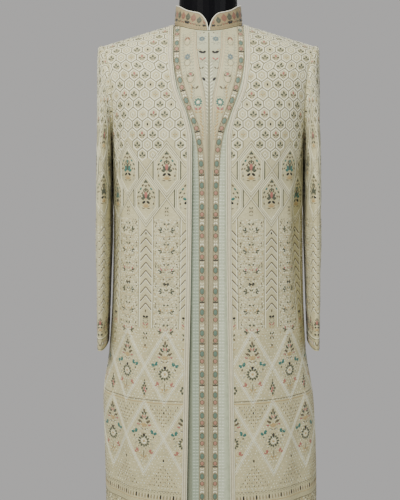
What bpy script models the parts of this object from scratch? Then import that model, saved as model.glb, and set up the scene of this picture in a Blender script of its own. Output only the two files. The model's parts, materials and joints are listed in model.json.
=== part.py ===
"""Jacket-style sherwani coat on a limbless dress form, cut and sewn piece by piece.

Metres, +Z up, the front faces -Y, the wearer's left is +X. The origin is on the floor
under the middle of the stand. Every cloth piece is a patch of one body surface, read
by two numbers: turn, the angle from the middle of the front or back round to the side
seam, and rise, which grows up the body and bends over the shoulder to its seam.
"""

import math
from bisect import bisect_right
from typing import Callable, NamedTuple

import bmesh
import bpy
from mathutils import Vector

COLLECTION = "sherwani_coat_on_form"

LEFT = 1            # sign of x on the wearer's left
RIGHT = -1
FRONT = -1          # sign of y on the front
BACK = 1
SIDE_NAMES = {LEFT: "left", RIGHT: "right"}

# Walls and gaps
COAT_WALL = 0.0020
SATIN_WALL = 0.0012
TRIM_WALL = 0.0010
SEAM_GAP = 0.0003
FRONT_STANDOFF = 0.0030      # how far the open coat stands off the satin below the chest

# Heights
HEM = 0.420
INNER_HEM = 0.432
ARMPIT = 1.215
SHOULDER_BASE = 1.250        # where the surface starts to bend over the shoulder
SHOULDER_RISE = 0.246        # from there to the shoulder seam, carried on to the middle
SHOULDER_SLOPE = 0.31        # fall of the shoulder seam for each metre outwards
SLOPE_START = 0.040          # the slope eases in over this distance from the middle
CREST = math.pi / 2 - 0.0005

# Neck hole, in plan
NECK_HALF_WIDTH = 0.072
NECK_DEPTH = {FRONT: 0.070, BACK: 0.057}

# Armhole
SHOULDER_TIP = 0.222
ARMHOLE_DEPTH = {FRONT: 0.078, BACK: 0.066}
ARMHOLE_HOLLOW = {FRONT: 0.013, BACK: 0.006}

SLEEVE_SEAM_TURN = 0.0036    # half a seam gap, as an angle round the flat arm

# Collar
COLLAR_HEIGHT = 0.0325       # in front
COLLAR_SIDE_HEIGHT = 0.0380  # at the sides and behind
COLLAR_RISE_START = 0.045    # how far from the middle it starts to grow to that height
COLLAR_LEAN = 0.08
COLLAR_CORNER = 0.026        # how far from the middle its rounded corner is full height
COLLAR_LOW_END = 0.003
COLLAR_SEAT = {FRONT: 0.0020, BACK: 0.0}
COLLAR_STEPS = (0.0031, 0.0045, 0.0075, 0.0125, 0.0200, 0.0310)   # columns near its front
COLLAR_LIFT = 2.5 * SEAM_GAP  # its lower edge above the neckline
PIPING_RADIUS = 0.0012

# Widths of what lies on the fronts
EDGE_BAND_WIDTH = 0.0100
RIBBON_HALF_WIDTH = 0.0066
INNER_OVERLAP = 0.045        # how far the satin runs on under the coat's front
NARROWEST = 0.0012           # a piece ends where it would be narrower than this

# The stand
FORM_DROP = 0.0060           # the form's shoulder lies this far under the coat's
NECK_MIDDLE = -0.0085
FORM_BOTTOM = 0.800
POLE_RADIUS = 0.016
BASE_RADIUS = 0.180
BASE_HEIGHT = 0.008
BASE_EDGE = 0.002

# Mesh densities
FRONT_COLUMNS = 12
BACK_COLUMNS = 12
INNER_COLUMNS = 4
BODY_ROWS = 19
SHOULDER_ROWS = 13
SLEEVE_COLUMNS = 8
COLLAR_COLUMNS = 12          # round each side behind the front steps
RING_POINTS = 32
FORM_ROWS = 10
FORM_SHOULDER_ROWS = 8


class BodySection(NamedTuple):
    """The coat's outer size at one level."""
    level: float
    right: float
    left: float
    front: float
    back: float
    squareness: float


class FormSection(NamedTuple):
    """The dress form's size at one level."""
    level: float
    half_width: float
    front: float
    back: float


class NeckSection(NamedTuple):
    """The dress form's neck at one height."""
    height: float
    half_width: float
    half_depth: float


class SleeveSection(NamedTuple):
    """One ring of a sleeve: follow 1 is the armhole's own shape, 0 a plain oval."""
    follow: float
    top: float
    under: float
    outer: float
    inner: float
    middle: float
    half_depth: float


class Line(NamedTuple):
    """Distance from the middle of the front, at one height."""
    height: float
    out: float


class Column(NamedTuple):
    """A column of a piece's points, a share of the way from one line to another."""
    inner: Callable
    outer: Callable
    share: float


class Fold(NamedTuple):
    """A soft vertical trough, deepest halfway up, in degrees of turn and metres."""
    side: int
    face: int
    turn: float
    spread: float
    depth: float
    bottom: float
    top: float


BODY = (
    BodySection(0.420, 0.2305, 0.2455, 0.150, 0.140, 2.30),
    BodySection(0.550, 0.2315, 0.2427, 0.147, 0.135, 2.30),
    BodySection(0.670, 0.2335, 0.2350, 0.143, 0.130, 2.30),
    BodySection(0.780, 0.2190, 0.2165, 0.139, 0.125, 2.35),
    BodySection(0.880, 0.2110, 0.2095, 0.136, 0.120, 2.40),
    BodySection(0.980, 0.2070, 0.2055, 0.134, 0.115, 2.45),
    BodySection(1.100, 0.2045, 0.2030, 0.135, 0.110, 2.55),
    BodySection(1.215, 0.2045, 0.2030, 0.141, 0.113, 2.75),
    BodySection(1.250, 0.2045, 0.2030, 0.142, 0.115, 2.80),
    BodySection(1.400, 0.2045, 0.2030, 0.142, 0.115, 3.00),
)

FORM = (
    FormSection(0.800, 0.158, 0.100, 0.090),
    FormSection(0.900, 0.172, 0.112, 0.100),
    FormSection(1.050, 0.160, 0.108, 0.088),
    FormSection(1.180, 0.178, 0.118, 0.092),
    FormSection(1.250, 0.184, 0.121, 0.095),
)

NECK = (
    NeckSection(1.400, 0.0621, 0.0515),
    NeckSection(1.528, 0.0621, 0.0510),
    NeckSection(1.552, 0.0597, 0.0500),
    NeckSection(1.590, 0.0575, 0.0495),
    NeckSection(1.600, 0.0510, 0.0440),
)

SLEEVE = (
    SleeveSection(1.00, 1.4385, 1.215, 0.2220, 0.2050, 0.000, 0.078),
    SleeveSection(0.97, 1.4395, 1.214, 0.2290, 0.2055, 0.000, 0.079),
    SleeveSection(0.92, 1.4340, 1.212, 0.2335, 0.2060, -0.001, 0.080),
    SleeveSection(0.80, 1.4130, 1.208, 0.2350, 0.2062, -0.002, 0.084),
    SleeveSection(0.55, 1.3600, 1.200, 0.2355, 0.2065, -0.003, 0.088),
    SleeveSection(0.25, 1.2900, 1.190, 0.2360, 0.2070, -0.005, 0.092),
    SleeveSection(0.00, 1.2000, 1.165, 0.2368, 0.2078, -0.008, 0.092),
    SleeveSection(0.00, 1.1200, 1.115, 0.2385, 0.2090, -0.011, 0.088),
    SleeveSection(0.00, 1.0300, 1.030, 0.2405, 0.2105, -0.017, 0.081),
    SleeveSection(0.00, 0.9500, 0.950, 0.2400, 0.2138, -0.022, 0.075),
    SleeveSection(0.00, 0.8700, 0.870, 0.2392, 0.2168, -0.028, 0.069),
    SleeveSection(0.00, 0.7980, 0.798, 0.2388, 0.2203, -0.032, 0.065),
)

# The coat's front edge, the middle of the ribbon, and the bib's outer seam
COAT_EDGE = (
    Line(0.420, 0.0460), Line(0.700, 0.0420), Line(0.980, 0.0365), Line(1.240, 0.0340),
    Line(1.290, 0.0440), Line(1.319, 0.0555), Line(1.343, 0.0640), Line(1.376, 0.0695),
    Line(1.420, 0.0733), Line(1.500, 0.0733),
)
RIBBON_MIDDLE = (
    Line(0.420, 0.0132), Line(1.120, 0.0134), Line(1.200, 0.0154), Line(1.254, 0.0225),
    Line(1.293, 0.0359), Line(1.332, 0.0500), Line(1.370, 0.0600), Line(1.410, 0.0650),
    Line(1.500, 0.0650),
)
BIB_SEAM = (
    Line(0.420, 0.0061), Line(1.270, 0.0061), Line(1.300, 0.0070), Line(1.335, 0.0115),
    Line(1.364, 0.0180), Line(1.397, 0.0240), Line(1.432, 0.0277), Line(1.500, 0.0285),
)

FOLDS = (
    Fold(LEFT, FRONT, 67, 17, 0.0130, 0.82, 1.26),
    Fold(RIGHT, FRONT, 70, 13, 0.0050, 0.86, 1.25),
    Fold(LEFT, FRONT, 52, 15, 0.0060, 0.26, 0.84),
    Fold(RIGHT, FRONT, 56, 16, 0.0070, 0.24, 0.90),
    Fold(LEFT, BACK, 60, 18, 0.0090, 0.24, 1.16),
    Fold(RIGHT, BACK, 56, 18, 0.0100, 0.24, 1.10),
    Fold(LEFT, BACK, 26, 14, 0.0060, 0.24, 0.94),
    Fold(RIGHT, BACK, 22, 13, 0.0050, 0.24, 1.00),
)


def smooth(value):
    """Ease a number from 0 to 1, and hold it there outside."""
    value = min(max(value, 0.0), 1.0)
    return value * value * (3 - 2 * value)


def mix(start, end, share):
    """Point or number part of the way between two."""
    return start + (end - start) * share


def squared(value):
    """Sine or cosine of an oval that is a little squarer than an ellipse."""
    return math.copysign(abs(value) ** 0.8, value)


def row_slope(rows, index, column):
    """Slope of a column at one row, level where the column turns round."""
    if index in (0, len(rows) - 1):
        return 0.0
    before, here, after = (rows[index + step] for step in (-1, 0, 1))
    low = (here[column] - before[column]) / (here[0] - before[0])
    high = (after[column] - here[column]) / (after[0] - here[0])
    return 0.0 if low * high <= 0 else 2 * low * high / (low + high)


def read(rows, at, column):
    """Read a table's column on a smooth curve through its rows."""
    keys = [row[0] for row in rows]
    at = min(max(at, keys[0]), keys[-1])
    first = min(bisect_right(keys, at), len(keys) - 1) - 1
    low, high = rows[first], rows[first + 1]
    span = high[0] - low[0]
    share = (at - low[0]) / span
    pull = share * (1 - share) * span
    bend = (row_slope(rows, first, column) * (1 - share)
            - row_slope(rows, first + 1, column) * share)
    return mix(low[column], high[column], smooth(share)) + pull * bend


def level_at(rise):
    """Level of a rise, measured where the shoulder's slope would meet the middle."""
    return SHOULDER_BASE + SHOULDER_RISE * (math.sin(rise) if rise > 0 else rise)


def rise_at(level):
    """Rise of a level below the shoulder."""
    return (level - SHOULDER_BASE) / SHOULDER_RISE


def shoulder_fall(out):
    """How far the shoulder seam has fallen at a distance from the middle."""
    return SHOULDER_SLOPE * (math.hypot(out, SLOPE_START) - SLOPE_START)


def height_at(rise, out):
    """Height of the surface at a rise, lower the further out on the shoulder."""
    lean = math.sin(rise) ** 2 if rise > 0 else 0.0
    return level_at(rise) - lean * shoulder_fall(out)


def armhole(side, face, level):
    """Distance out and depth of the armhole's edge at a level."""
    middle = (SHOULDER_BASE + SHOULDER_RISE + ARMPIT) / 2
    half = SHOULDER_BASE + SHOULDER_RISE - middle
    cosine = min(max((level - middle) / half, -1.0), 1.0)
    sine = math.sqrt(1 - cosine * cosine)
    low_out = read(BODY, ARMPIT, column_of(side))
    out = mix(low_out, SHOULDER_TIP, (1 + cosine) / 2) - ARMHOLE_HOLLOW[face] * sine ** 2
    return out, ARMHOLE_DEPTH[face] * sine


def column_of(side):
    """Column of BODY that holds one side's half width."""
    return BodySection._fields.index(SIDE_NAMES[side])


def section(side, face, rise):
    """Half width, half depth, squareness and last turn of the surface at a rise."""
    level = level_at(rise)
    squareness = read(BODY, level, 5)
    depth = read(BODY, level, 3 if face == FRONT else 4)
    if rise > 0:
        depth *= math.cos(rise)
    if level <= ARMPIT:
        return read(BODY, level, column_of(side)), depth, squareness, math.pi / 2
    out, inset = armhole(side, face, level)
    width = out / (1 - (inset / depth) ** squareness) ** (1 / squareness)
    return width, depth, squareness, math.asin((out / width) ** (squareness / 2))


def fold_depth(side, face, turn, height):
    """How far the folds draw the cloth in at a place."""
    total = 0.0
    for fold in FOLDS:
        across = abs(math.degrees(turn) - fold.turn) / fold.spread
        along = (height - fold.bottom) / (fold.top - fold.bottom)
        if (side, face) == (fold.side, fold.face) and across < 1 and 0 < along < 1:
            total += fold.depth * (1 - smooth(across)) * math.sin(math.pi * along) ** 1.5
    return total


def bare(side, face, turn, rise):
    """Point of the body surface before its folds."""
    width, depth, squareness, _ = section(side, face, rise)
    out = width * math.sin(turn) ** (2 / squareness)
    back = depth * max(math.cos(turn), 0.0) ** (2 / squareness)
    return Vector((side * (out + SEAM_GAP / 2), face * (back + SEAM_GAP / 2),
                   height_at(rise, out)))


def outward(side, face, turn, rise):
    """Unit normal of the body surface, pointing away from the body."""
    step = 0.002
    low_turn, high_turn = max(turn - step, 0.0), min(turn + step, math.pi / 2)
    low_rise, high_rise = rise - step, min(rise + step, CREST)
    across = bare(side, face, high_turn, rise) - bare(side, face, low_turn, rise)
    up = bare(side, face, turn, high_rise) - bare(side, face, turn, low_rise)
    return across.cross(up).normalized() * (-side * face)


def skin(side, face, turn, rise, depth=0.0):
    """Point of the folded cloth surface, a depth below the coat's outer face."""
    point = bare(side, face, turn, rise)
    inset = depth + fold_depth(side, face, turn, point.z)
    return point - outward(side, face, turn, rise) * inset


def neck_rise(face, out):
    """Rise at which the surface ends: at the neck hole, or at the shoulder seam."""
    if out >= NECK_HALF_WIDTH:
        return CREST
    in_plan = NECK_DEPTH[face] * math.sqrt(1 - (out / NECK_HALF_WIDTH) ** 2)
    return min(math.acos(in_plan / read(BODY, SHOULDER_BASE, 3 if face == FRONT else 4)),
               CREST)


def turn_of(line, width, squareness, last, rise):
    """Turn at which a line crosses one rise of the surface."""
    out = 0.05
    for _ in range(3):
        out = line(height_at(rise, out))
    return min(math.asin((out / width) ** (squareness / 2)), last)


def settle(side, face, nominal, column):
    """Turn and rise of a column's point on one row, held below the neck hole."""
    rise = nominal
    for _ in range(6):
        width, _, squareness, last = section(side, face, rise)
        ends = [turn_of(line, width, squareness, last, rise) if line else last
                for line in (column.inner, column.outer)]
        turn = mix(ends[0], ends[1], column.share)
        out = width * math.sin(turn) ** (2 / squareness)
        rise = nominal if nominal <= 0 else nominal * neck_rise(face, out) / CREST
    return turn, rise


def rises(hem):
    """Rises of a patch's rows, from its hem to the shoulder seam."""
    low = rise_at(hem)
    below = [low * (1 - row / BODY_ROWS) for row in range(BODY_ROWS)]
    above = [CREST * row / SHOULDER_ROWS for row in range(SHOULDER_ROWS + 1)]
    return below + above


def even(columns):
    """Shares of a row cut into equal columns."""
    return [column / columns for column in range(columns + 1)]


def columns_at(*lines):
    """One column of points along each line."""
    return [Column(line, line, 0.0) for line in lines]


def columns_between(inner, outer, shares):
    """Columns of points spread between two lines, or out to the side seam."""
    return [Column(inner, outer, share) for share in shares]


def coat_depth(rise):
    """Depth of the coat's own outer face."""
    return 0.0


def band_depth(rise):
    """Depth of the edge band's outer face, proud of the coat."""
    return -TRIM_WALL - SEAM_GAP


def trim_depth(rise):
    """Depth of the trims' outer face: closest under the coat at the shoulder."""
    loose = 1 - smooth(rise / 0.9)
    return COAT_WALL + SEAM_GAP + FRONT_STANDOFF * loose


def satin_depth(rise):
    """Depth of the satin's outer face, just under the trims."""
    return trim_depth(rise) + TRIM_WALL + SEAM_GAP


def middle_line(height):
    """The middle of the front or back."""
    return 0.0


def coat_edge(height):
    """Where the coat's open front edge runs."""
    return read(COAT_EDGE, height, 1)


def band_edge(height):
    """Outer side of the plain band along the coat's front edge."""
    return coat_edge(height) + EDGE_BAND_WIDTH


def satin_edge(height):
    """Where the satin ends, hidden under the coat."""
    return coat_edge(height) + INNER_OVERLAP


def bib_seam(height):
    """Seam between bib and yoke, and below them the side of the strip at the closing."""
    return read(BIB_SEAM, height, 1)


def bib_edge(height):
    """Outer side of the bib."""
    return bib_seam(height) - SEAM_GAP / 2


def ribbon_middle(height):
    """The middle of the ribbon."""
    return read(RIBBON_MIDDLE, height, 1)


def ribbon_inner(height):
    """Side of the ribbon next to the closing."""
    return ribbon_middle(height) - RIBBON_HALF_WIDTH


def ribbon_outer(height):
    """Side of the ribbon next to the coat's edge."""
    return ribbon_middle(height) + RIBBON_HALF_WIDTH


def yoke_inner(height):
    """Side of the yoke next to the bib."""
    return bib_seam(height) + SEAM_GAP / 2


def yoke_outer(height):
    """Side of the yoke next to the ribbon."""
    return max(ribbon_inner(height) - SEAM_GAP, yoke_inner(height))


def link(thing):
    """Put an object in the model's collection."""
    bpy.data.collections[COLLECTION].objects.link(thing)
    return thing


def finish(name, color, roughness, metallic=0.0):
    """Make a plain material with one colour."""
    material = bpy.data.materials.new(name)
    material.use_nodes = True
    shader = material.node_tree.nodes["Principled BSDF"]
    shader.inputs["Base Color"].default_value = (*color, 1.0)
    shader.inputs["Roughness"].default_value = roughness
    shader.inputs["Metallic"].default_value = metallic
    return material


def mesh_object(name, bm, material):
    """Turn a bmesh into a smooth-shaded object."""
    mesh = bpy.data.meshes.new(name)
    bm.to_mesh(mesh)
    bm.free()
    mesh.shade_smooth()
    mesh.materials.append(material)
    return link(bpy.data.objects.new(name, mesh))


def skin_faces(bm, rows):
    """Fill a grid of points with faces, and return its vertices."""
    grid = [[bm.verts.new(point) for point in row] for row in rows]
    for low, high in zip(grid, grid[1:]):
        for near, far, far_up, near_up in zip(low, low[1:], high[1:], high):
            bm.faces.new((near, far, far_up, near_up))
    return grid


def rim_of(grid):
    """Vertices round the edge of a grid, in order."""
    return (grid[0] + [row[-1] for row in grid[1:]] + grid[-1][-2::-1]
            + [row[0] for row in grid[-2:0:-1]])


def cloth(name, outer, inner, material):
    """Make a cloth wall between two grids of one surface, so that its seams stay square."""
    bm = bmesh.new()
    rims = [rim_of(skin_faces(bm, rows)) for rows in (outer, inner)]
    for index in range(len(rims[0])):
        after = (index + 1) % len(rims[0])
        bm.faces.new((rims[0][index], rims[0][after], rims[1][after], rims[1][index]))
    bmesh.ops.recalc_face_normals(bm, faces=bm.faces)
    piece = mesh_object(name, bm, material)
    piece.data.set_sharp_from_angle(angle=math.radians(50))
    return piece


def cut(name, side, face, columns, hem, depth_at, wall, material):
    """Cut one cloth piece from the body surface."""
    places = [[settle(side, face, nominal, column) for column in columns]
              for nominal in rises(hem)]
    outer, inner = ([[skin(side, face, turn, rise, depth_at(rise) + extra)
                      for turn, rise in row] for row in places] for extra in (0.0, wall))
    widths = [(row[-1] - row[0]).length for row in outer]
    kept = [index for index, width in enumerate(widths) if width > NARROWEST]
    cloth(name, [outer[index] for index in kept], [inner[index] for index in kept], material)


def loft(name, rings, material):
    """Make closed rings of equal length into one body, flat at both ends."""
    bm = bmesh.new()
    grid = [[bm.verts.new(point) for point in ring] for ring in rings]
    for low, high in zip(grid, grid[1:]):
        for index in range(len(low)):
            after = (index + 1) % len(low)
            bm.faces.new((low[index], low[after], high[after], high[index]))
    bm.faces.new(list(reversed(grid[0])))
    bmesh.ops.remove_doubles(bm, verts=grid[-1], dist=1e-6)
    top = [vertex for vertex in grid[-1] if vertex.is_valid]
    if len(top) == len(grid[-1]):
        bm.faces.new(top)
    return mesh_object(name, bm, material)


def cut_panels(side, brocade):
    """The coat's own front and back on one side."""
    name = SIDE_NAMES[side]
    columns = columns_at(coat_edge)
    columns += columns_between(band_edge, None, even(FRONT_COLUMNS - 1))
    cut(f"front_{name}", side, FRONT, columns, HEM, coat_depth, COAT_WALL, brocade)
    # Columns crowd together towards the neck point, where the neckline turns up
    neck_share = NECK_HALF_WIDTH / SHOULDER_TIP
    outs = [neck_share * math.sin(math.radians(angle)) for angle in (0, 20, 40, 58, 75)]
    outs += [mix(neck_share, 1.0, share) for share in even(BACK_COLUMNS - len(outs))]
    shares = [math.asin(out ** 1.5) / (math.pi / 2) for out in outs]
    columns = columns_between(middle_line, None, shares)
    cut(f"back_{name}", side, BACK, columns, HEM, coat_depth, COAT_WALL, brocade)


def cut_inner_front(side, satin):
    """The satin front under the coat, from the closing to just past the coat's edge."""
    columns = columns_at(middle_line, bib_seam, ribbon_inner, ribbon_middle)
    columns += columns_between(ribbon_outer, satin_edge, even(INNER_COLUMNS))
    cut(f"inner_front_{SIDE_NAMES[side]}", side, FRONT, columns, INNER_HEM, satin_depth,
        SATIN_WALL, satin)


def lay_trims(side, ribbon, bib, yoke, band):
    """Bib, yoke and ribbon on the satin, and the plain band on the coat's edge."""
    name = SIDE_NAMES[side]
    laid = (
        ("bib", columns_between(middle_line, bib_edge, even(2)), INNER_HEM, trim_depth, bib),
        ("yoke", columns_between(yoke_inner, yoke_outer, even(2)), INNER_HEM, trim_depth,
         yoke),
        ("ribbon", columns_at(ribbon_inner, ribbon_middle, ribbon_outer), INNER_HEM,
         trim_depth, ribbon),
        ("edge_band", columns_at(coat_edge, band_edge), HEM, band_depth, band),
    )
    for piece, columns, hem, depth_at, material in laid:
        cut(f"{piece}_{name}", side, FRONT, columns, hem, depth_at, TRIM_WALL, material)


def armhole_point(side, angle, row):
    """Point of a sleeve's ring that still follows the armhole, widened to its section."""
    face = FRONT if math.sin(angle) >= 0 else BACK
    middle = (SHOULDER_BASE + SHOULDER_RISE + ARMPIT) / 2
    half = SHOULDER_BASE + SHOULDER_RISE - middle
    level = middle + half * math.cos(angle)
    out, inset = armhole(side, face, level)
    ratio = min(max((level - SHOULDER_BASE) / SHOULDER_RISE, 0.0), 1.0)
    height = level - ratio ** 2 * shoulder_fall(out)
    upper = (1 + math.cos(angle)) / 2
    out += (row.outer - SLEEVE[0].outer) * upper
    out += (row.inner - SLEEVE[0].inner) * (1 - upper) + 2 * SEAM_GAP
    height += (row.top - SLEEVE[0].top) * upper + (row.under - SLEEVE[0].under) * (1 - upper)
    return Vector((side * out, face * inset, height))


def sleeve_point(side, angle, row):
    """Point of a sleeve's ring: angle 0 faces outwards, a quarter turn faces forwards."""
    across, along = squared(math.cos(angle)), squared(math.sin(angle))
    oval = Vector((
        side * (mix(row.inner, row.outer, 0.5) + (row.outer - row.inner) / 2 * across),
        row.middle - row.half_depth * along,
        mix(row.under, row.top, 0.5) + (row.top - row.under) / 2 * across))
    return mix(oval, armhole_point(side, angle, row), row.follow)


def sleeve_lining_point(side, angle, index):
    """Point of a sleeve's inner face, a wall in from its ring."""
    step = 0.01
    low, high = SLEEVE[max(index - 1, 0)], SLEEVE[min(index + 1, len(SLEEVE) - 1)]
    around = (sleeve_point(side, angle + step, SLEEVE[index])
              - sleeve_point(side, angle - step, SLEEVE[index]))
    along = sleeve_point(side, angle, low) - sleeve_point(side, angle, high)
    normal = along.cross(around).normalized() * side
    return sleeve_point(side, angle, SLEEVE[index]) - normal * COAT_WALL


def set_in_sleeve(side, brocade):
    """A two-piece sleeve, its seams at the front and back of the arm."""
    for half, start in (("upper", -math.pi / 2), ("under", math.pi / 2)):
        angles = [mix(start + SLEEVE_SEAM_TURN, start + math.pi - SLEEVE_SEAM_TURN, share)
                  for share in even(SLEEVE_COLUMNS)]
        outer = [[sleeve_point(side, angle, row) for angle in angles] for row in SLEEVE]
        inner = [[sleeve_lining_point(side, angle, index) for angle in angles]
                 for index in range(len(SLEEVE))]
        cloth(f"sleeve_{SIDE_NAMES[side]}_{half}", outer, inner, brocade)


def collar_seat(turn):
    """Point of the collar's lower edge: turn is 0 in front and half a circle behind."""
    side = LEFT if math.sin(turn) >= 0 else RIGHT
    face = FRONT if math.cos(turn) >= 0 else BACK
    out = NECK_HALF_WIDTH * abs(math.sin(turn))
    rise = neck_rise(face, out)
    width, _, squareness, _ = section(side, face, rise)
    to_side = abs(math.cos(turn))
    depth = COLLAR_SEAT[face] * min(to_side / 0.25, 1.0)
    around = math.asin((out / width) ** (squareness / 2))
    return skin(side, face, around, rise, depth) + Vector((0, 0, COLLAR_LIFT))


def collar_height(distance):
    """Height of the collar at a distance from the middle, rounded at its front end."""
    share = min((distance - COLLAR_STEPS[0]) / (COLLAR_CORNER - COLLAR_STEPS[0]), 1.0)
    ease = smooth((distance - COLLAR_RISE_START) / (NECK_HALF_WIDTH - COLLAR_RISE_START))
    full = mix(COLLAR_HEIGHT, COLLAR_SIDE_HEIGHT, ease)
    return mix(COLLAR_LOW_END, full, (1 - (1 - max(share, 0.0)) ** 2) ** 0.6)


def collar_turns():
    """Turns of the collar's columns, from its left front end round to its right one."""
    front = [math.asin(step / NECK_HALF_WIDTH) for step in COLLAR_STEPS]
    rest = [mix(front[-1], math.pi, share) for share in even(COLLAR_COLUMNS)[1:]]
    half = front + rest
    return half + [2 * math.pi - turn for turn in reversed(half[:-1])]


def collar_rows(inset):
    """Rows of the collar's face, from its seat to its top edge, an inset further in."""
    rows = [[], [], []]
    for turn in collar_turns():
        seat = collar_seat(turn)
        to_middle = Vector((-seat.x, -seat.y, 0)).normalized()
        if abs(seat.x) < COLLAR_CORNER and math.cos(turn) > 0:
            to_middle = Vector((0, 1, 0))
        height = collar_height(abs(seat.x) if math.cos(turn) > 0 else NECK_HALF_WIDTH)
        for index, share in enumerate((0.0, 0.5, 1.0)):
            lift = Vector((0, 0, height * share))
            rows[index].append(seat + lift
                               + to_middle * (COLLAR_LEAN * height * share + inset))
    return rows


def sew_collar(collar, piping):
    """The stand collar, and the piping round its top edge and front ends."""
    rows = collar_rows(0.0)
    cloth("collar", rows, collar_rows(COAT_WALL), collar)
    edge = [rows[0][0]] + rows[-1] + [rows[0][-1]]
    curve = bpy.data.curves.new("collar_piping", "CURVE")
    curve.dimensions = "3D"
    curve.bevel_depth = PIPING_RADIUS
    curve.bevel_resolution = 1
    curve.use_fill_caps = True
    spline = curve.splines.new("POLY")
    spline.points.add(len(edge) - 1)
    for index, point in enumerate(edge):
        before, after = edge[max(index - 1, 0)], edge[min(index + 1, len(edge) - 1)]
        along = (after - before).normalized()
        inwards = Vector((-point.x, -point.y, 0)).normalized()
        away = along.cross(inwards).normalized()
        if away.z < -0.05:
            away.negate()
        place = point + away * (PIPING_RADIUS + SEAM_GAP) + inwards * COAT_WALL / 2
        spline.points[index].co = (*place, 1.0)
    curve.materials.append(piping)
    link(bpy.data.objects.new("collar_piping", curve))


def form_ring(rise, row):
    """Closed ring of the form's torso."""
    level = level_at(rise) - FORM_DROP * (math.sin(rise) if rise > 0 else 0.0)
    lean = math.sin(rise) ** 2 if rise > 0 else 0.0
    thin = math.cos(rise) if rise > 0 else 1.0
    half_width = row.half_width - 0.022 * (1 - thin)
    ring = []
    for index in range(RING_POINTS):
        angle = 2 * math.pi * index / RING_POINTS
        across, along = squared(math.sin(angle)), -squared(math.cos(angle))
        x = half_width * across
        y = (row.front if along < 0 else row.back) * thin * along
        ring.append(Vector((x, y, level - lean * shoulder_fall(x))))
    return ring


def build_form(gloss):
    """The torso and neck that the coat hangs on, as one smooth body."""
    rings = []
    for share in even(FORM_ROWS):
        level = mix(FORM_BOTTOM, SHOULDER_BASE, share)
        row = FormSection(level, *(read(FORM, level, column) for column in (1, 2, 3)))
        rings.append(form_ring(rise_at(level), row))
    for share in even(FORM_SHOULDER_ROWS)[1:]:
        rings.append(form_ring(math.pi / 2 * share, FORM[-1]))
    for point in rings[-1]:
        point.y = 0.0
    torso = loft("form_torso", rings, gloss)
    neck_rings = []
    for row in NECK:
        angles = [2 * math.pi * index / RING_POINTS for index in range(RING_POINTS)]
        neck_rings.append([Vector((row.half_width * math.sin(angle),
                                   NECK_MIDDLE - row.half_depth * math.cos(angle),
                                   row.height))
                           for angle in angles])
    neck = loft("neck_to_join", neck_rings, gloss)
    bpy.data.collections[COLLECTION].objects.unlink(neck)
    bpy.data.collections["cutters"].objects.link(neck)
    neck.hide_render = True
    neck.display_type = "WIRE"
    join = torso.modifiers.new("Neck", "BOOLEAN")
    join.operation = "UNION"
    join.object = neck


def build_stand(metal):
    """A plain pole and a round base plate."""
    bottom, top = BASE_HEIGHT + SEAM_GAP, FORM_BOTTOM - SEAM_GAP
    bm = bmesh.new()
    bmesh.ops.create_cone(bm, cap_ends=True, segments=20, radius1=POLE_RADIUS,
                          radius2=POLE_RADIUS, depth=top - bottom)
    pole = mesh_object("form_pole", bm, metal)
    pole.location.z = (bottom + top) / 2
    pole.data.set_sharp_from_angle(angle=math.radians(50))
    bm = bmesh.new()
    bmesh.ops.create_cone(bm, cap_ends=True, segments=48, radius1=BASE_RADIUS,
                          radius2=BASE_RADIUS, depth=BASE_HEIGHT)
    base = mesh_object("form_base", bm, metal)
    base.location.z = BASE_HEIGHT / 2
    base.data.set_sharp_from_angle(angle=math.radians(50))
    rounding = base.modifiers.new("Edge", "BEVEL")
    rounding.width = BASE_EDGE
    rounding.segments = 2
    rounding.limit_method = "ANGLE"


def main():
    """Clear the file and build every piece."""
    for old in list(bpy.data.objects):
        bpy.data.objects.remove(old, do_unlink=True)
    for name in (COLLECTION, "cutters"):
        bpy.context.scene.collection.children.link(bpy.data.collections.new(name))
    brocade = finish("embroidered_brocade", (0.62, 0.60, 0.46), 0.62)
    satin = finish("mint_satin", (0.55, 0.60, 0.50), 0.35)
    ribbon = finish("embroidered_ribbon", (0.58, 0.52, 0.38), 0.55)
    bib = finish("bib_cloth", (0.66, 0.64, 0.52), 0.55)
    yoke = finish("yoke_cloth", (0.62, 0.60, 0.47), 0.6)
    band = finish("plain_edge_band", (0.64, 0.62, 0.48), 0.45)
    collar = finish("collar_cloth", (0.50, 0.40, 0.27), 0.6)
    piping = finish("cream_piping", (0.70, 0.68, 0.55), 0.4)
    gloss = finish("form_gloss_black", (0.012, 0.012, 0.014), 0.15)
    metal = finish("stand_steel", (0.05, 0.05, 0.055), 0.35, 1.0)
    for side in (RIGHT, LEFT):
        cut_panels(side, brocade)
        cut_inner_front(side, satin)
        lay_trims(side, ribbon, bib, yoke, band)
        set_in_sleeve(side, brocade)
    sew_collar(collar, piping)
    build_form(gloss)
    build_stand(metal)


main()
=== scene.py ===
"""Looks of a jacket-style sherwani coat and of the limbless dress form that it rests on.

Metres, +Z up, the coat's front faces -Y and the wearer's left is +X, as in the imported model.
Each cloth piece is a shell cut from one body surface, like the solid that it stands for, with
finer creases. Its UV map holds real metres of cloth, so that weave and stitches keep their size.
"""

import json
import logging
import math
from dataclasses import dataclass
from enum import Enum, IntEnum
from typing import Callable, Mapping, NamedTuple, Optional, Sequence, Union

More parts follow.
